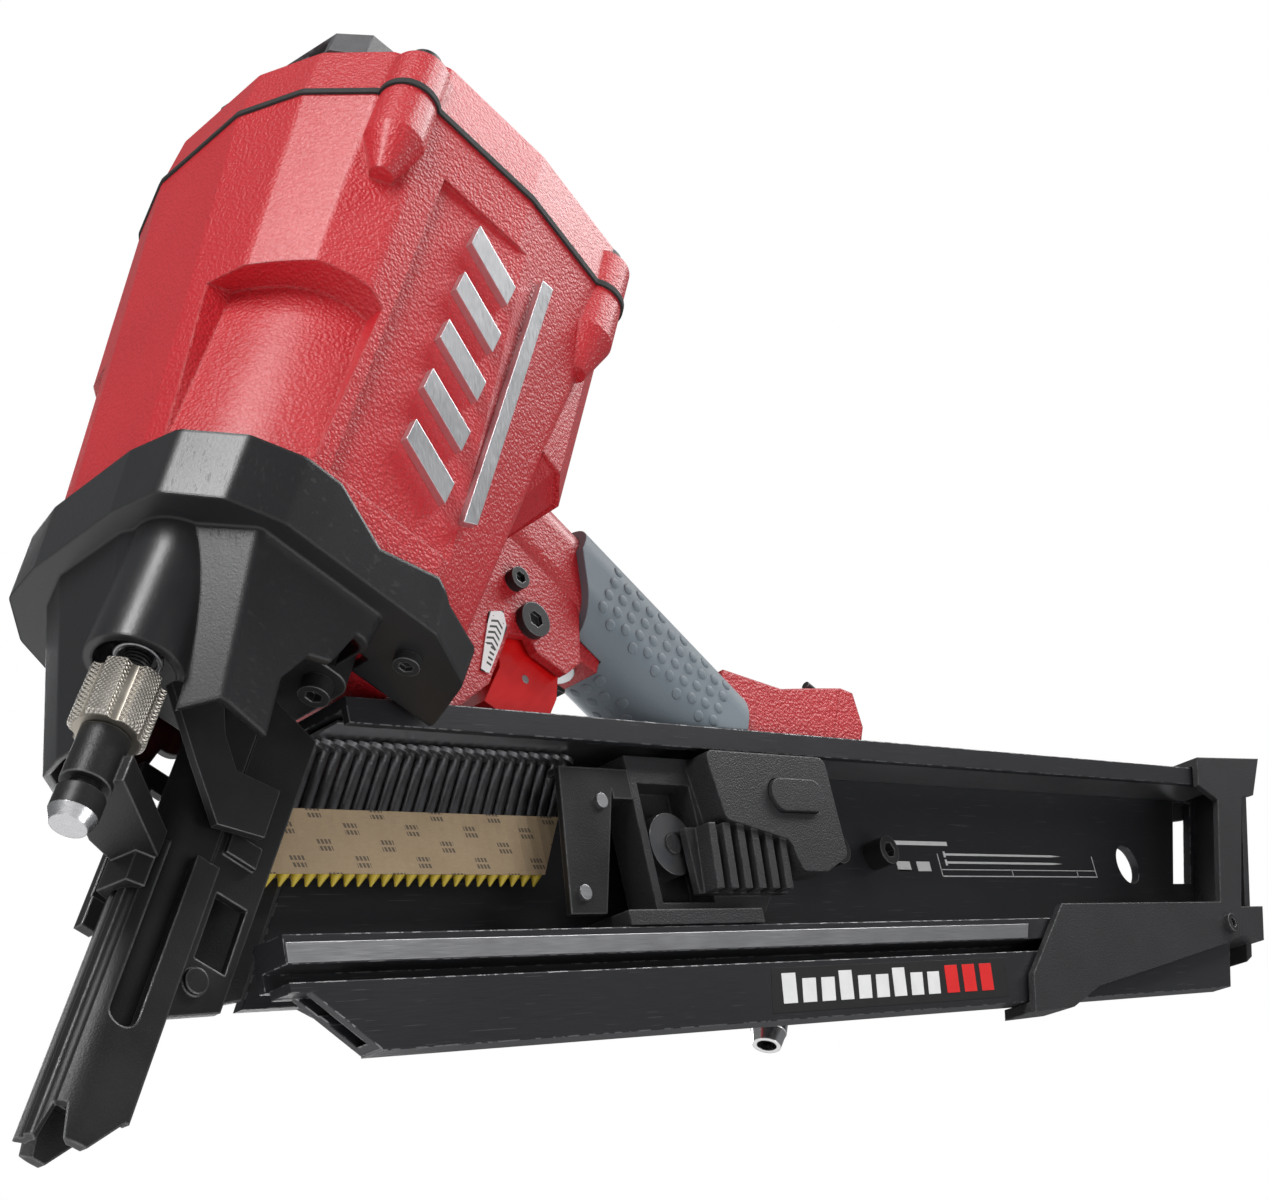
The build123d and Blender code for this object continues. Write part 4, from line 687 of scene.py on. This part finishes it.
blued = Finish("blued_spring_wire", Metallic=1.0)
blue_cloud = blued.noise(130.0, 4.0)
draw_marks = blued.noise(1500.0, 2.0)
blued.feed(
    Base_Color=blued.mixed(blue_cloud, (0.16, 0.17, 0.20, 1.0), (0.40, 0.39, 0.38, 1.0)),
    Roughness=0.24 + draw_marks * 0.16,
    Normal=blued.relief(draw_marks, 0.00004, 0.5, 0.0002),
)
dress(blued, "feeder_spring", "valve_spring", "button_spring", "head_valve_spring", "contact_spring")


# Cylinder sleeve, piston and trigger valve.
# Turned from aluminium bar. The lathe leaves fine rings round the drive axis.

turned_bar = Finish("turned_aluminium", Metallic=1.0)
bar_x, bar_y, bar_z = turned_bar.axes()
lathe = bar_z.zigzag(0.0004)
bar_stain = turned_bar.noise(80.0, 4.0)
turned_bar.feed(
    Base_Color=turned_bar.mixed(bar_stain, grey(0.58, 1.02), grey(0.76, 1.02)),
    Roughness=0.26 + lathe * 0.10 + bar_stain * 0.14,
    Normal=turned_bar.relief(lathe, 0.00003, 0.5, 0.0004),
)
dress(turned_bar, "cylinder_sleeve", "piston", "trigger_valve")


# Air plug.
# Turned from steel bar and nickel plated, so it is nearly a mirror, with a few handling
# marks.

plated = Finish("nickel_plate", Metallic=1.0)
plate_wear = plated.noise(240.0, 4.0)
plate_rings = plated.axes()[2].zigzag(0.0006)
plated.feed(
    Base_Color=plated.mixed(plate_wear, grey(0.60), grey(0.78)),
    Roughness=0.10 + plate_wear * 0.14,
    Normal=plated.relief(plate_rings + plate_wear, 0.00002, 0.4, 0.0004),
)
dress(plated, "air_plug")


# Studio.
# A plain pale floor under the tool, a white surround, and four large soft lamps: one on the
# left, one low in front, one above and one behind, for the long highlights on the black.

FLOOR_Z = -0.32
FLOOR_HALF = 2

floor_paint = Finish("pale_floor_paint", Specular_IOR_Level=0.3, Emission_Color=grey(0.9),
                     Emission_Strength=0.22)
floor_mottle = floor_paint.noise(6.0, 3.0)
floor_paint.feed(Base_Color=floor_paint.mixed(floor_mottle, grey(0.78), grey(0.82)),
                 Roughness=0.6 + floor_mottle * 0.1)
floor_sheet = bmesh.new()
corners = [floor_sheet.verts.new((x * FLOOR_HALF, y * FLOOR_HALF, FLOOR_Z))
           for x, y in ((-1, -1), (1, -1), (1, 1), (-1, 1))]
floor_sheet.faces.new(corners)
floor_mesh = bpy.data.meshes.new("studio_floor")
floor_sheet.to_mesh(floor_mesh)
floor_sheet.free()
floor_mesh.materials.append(floor_paint.material)
floor = bpy.data.objects.new("studio_floor", floor_mesh)
bpy.context.scene.collection.objects.link(floor)

surround = bpy.data.worlds.new("studio_surround")
surround.use_nodes = True
sky = surround.node_tree
sky.nodes.clear()
sky_out = sky.nodes.new("ShaderNodeOutputWorld")
seen = sky.nodes.new("ShaderNodeBackground")
seen.inputs["Color"].default_value = (1.0, 1.0, 1.0, 1.0)
seen.inputs["Strength"].default_value = 1.0
cast = sky.nodes.new("ShaderNodeBackground")
cast.inputs["Color"].default_value = (0.96, 0.98, 1.0, 1.0)
cast.inputs["Strength"].default_value = 0.20
choice = sky.nodes.new("ShaderNodeMixShader")
ray = sky.nodes.new("ShaderNodeLightPath")
sky.links.new(ray.outputs["Is Camera Ray"], choice.inputs[0])
sky.links.new(cast.outputs[0], choice.inputs[1])
sky.links.new(seen.outputs[0], choice.inputs[2])
sky.links.new(choice.outputs[0], sky_out.inputs[0])
bpy.context.scene.world = surround


def add_lamp(name, place, aim, width, height, power):
    lamp = bpy.data.lights.new(name, "AREA")
    lamp.shape = "RECTANGLE"
    lamp.size = width
    lamp.size_y = height
    lamp.energy = power
    made = bpy.data.objects.new(name, lamp)
    bpy.context.scene.collection.objects.link(made)
    made.location = place
    made.rotation_euler = (Vector(aim) - Vector(place)).to_track_quat("-Z", "Y").to_euler()


add_lamp("lamp_left_front", (-1.15, -0.50, 0.70), (0.0, 0.0, 0.17), 0.35, 1.0, 19.0)
add_lamp("lamp_low_front", (0.75, -1.30, -0.20), (0.14, 0.0, 0.16), 0.9, 0.25, 5.0)
add_lamp("lamp_above", (0.40, -0.45, 1.25), (0.15, 0.0, 0.2), 0.9, 0.35, 11.0)
add_lamp("lamp_behind", (0.5, 1.2, 0.7), (0.1, 0.0, 0.2), 0.9, 0.9, 12.0)

CAMERA_PLACE = (-0.1844, -0.3988, -0.1910)
LENS = 58.78
RIGHT = Vector((0.6927, -0.7027, 0.1620))
FORWARD = Vector((0.4615, 0.6047, 0.6490)).normalized()
RIGHT = (RIGHT - FORWARD * RIGHT.dot(FORWARD)).normalized()
UP = RIGHT.cross(FORWARD)
view = bpy.data.cameras.new("view_camera")
view.sensor_fit = "HORIZONTAL"
view.sensor_width = 36.0
view.lens = LENS
view.clip_start = 0.01
camera = bpy.data.objects.new("view_camera", view)
bpy.context.scene.collection.objects.link(camera)
facing = Matrix((RIGHT, UP, -FORWARD)).transposed().to_4x4()
camera.matrix_world = Matrix.Translation(CAMERA_PLACE) @ facing
bpy.context.scene.camera = camera
bpy.context.scene.view_settings.view_transform = "Standard"
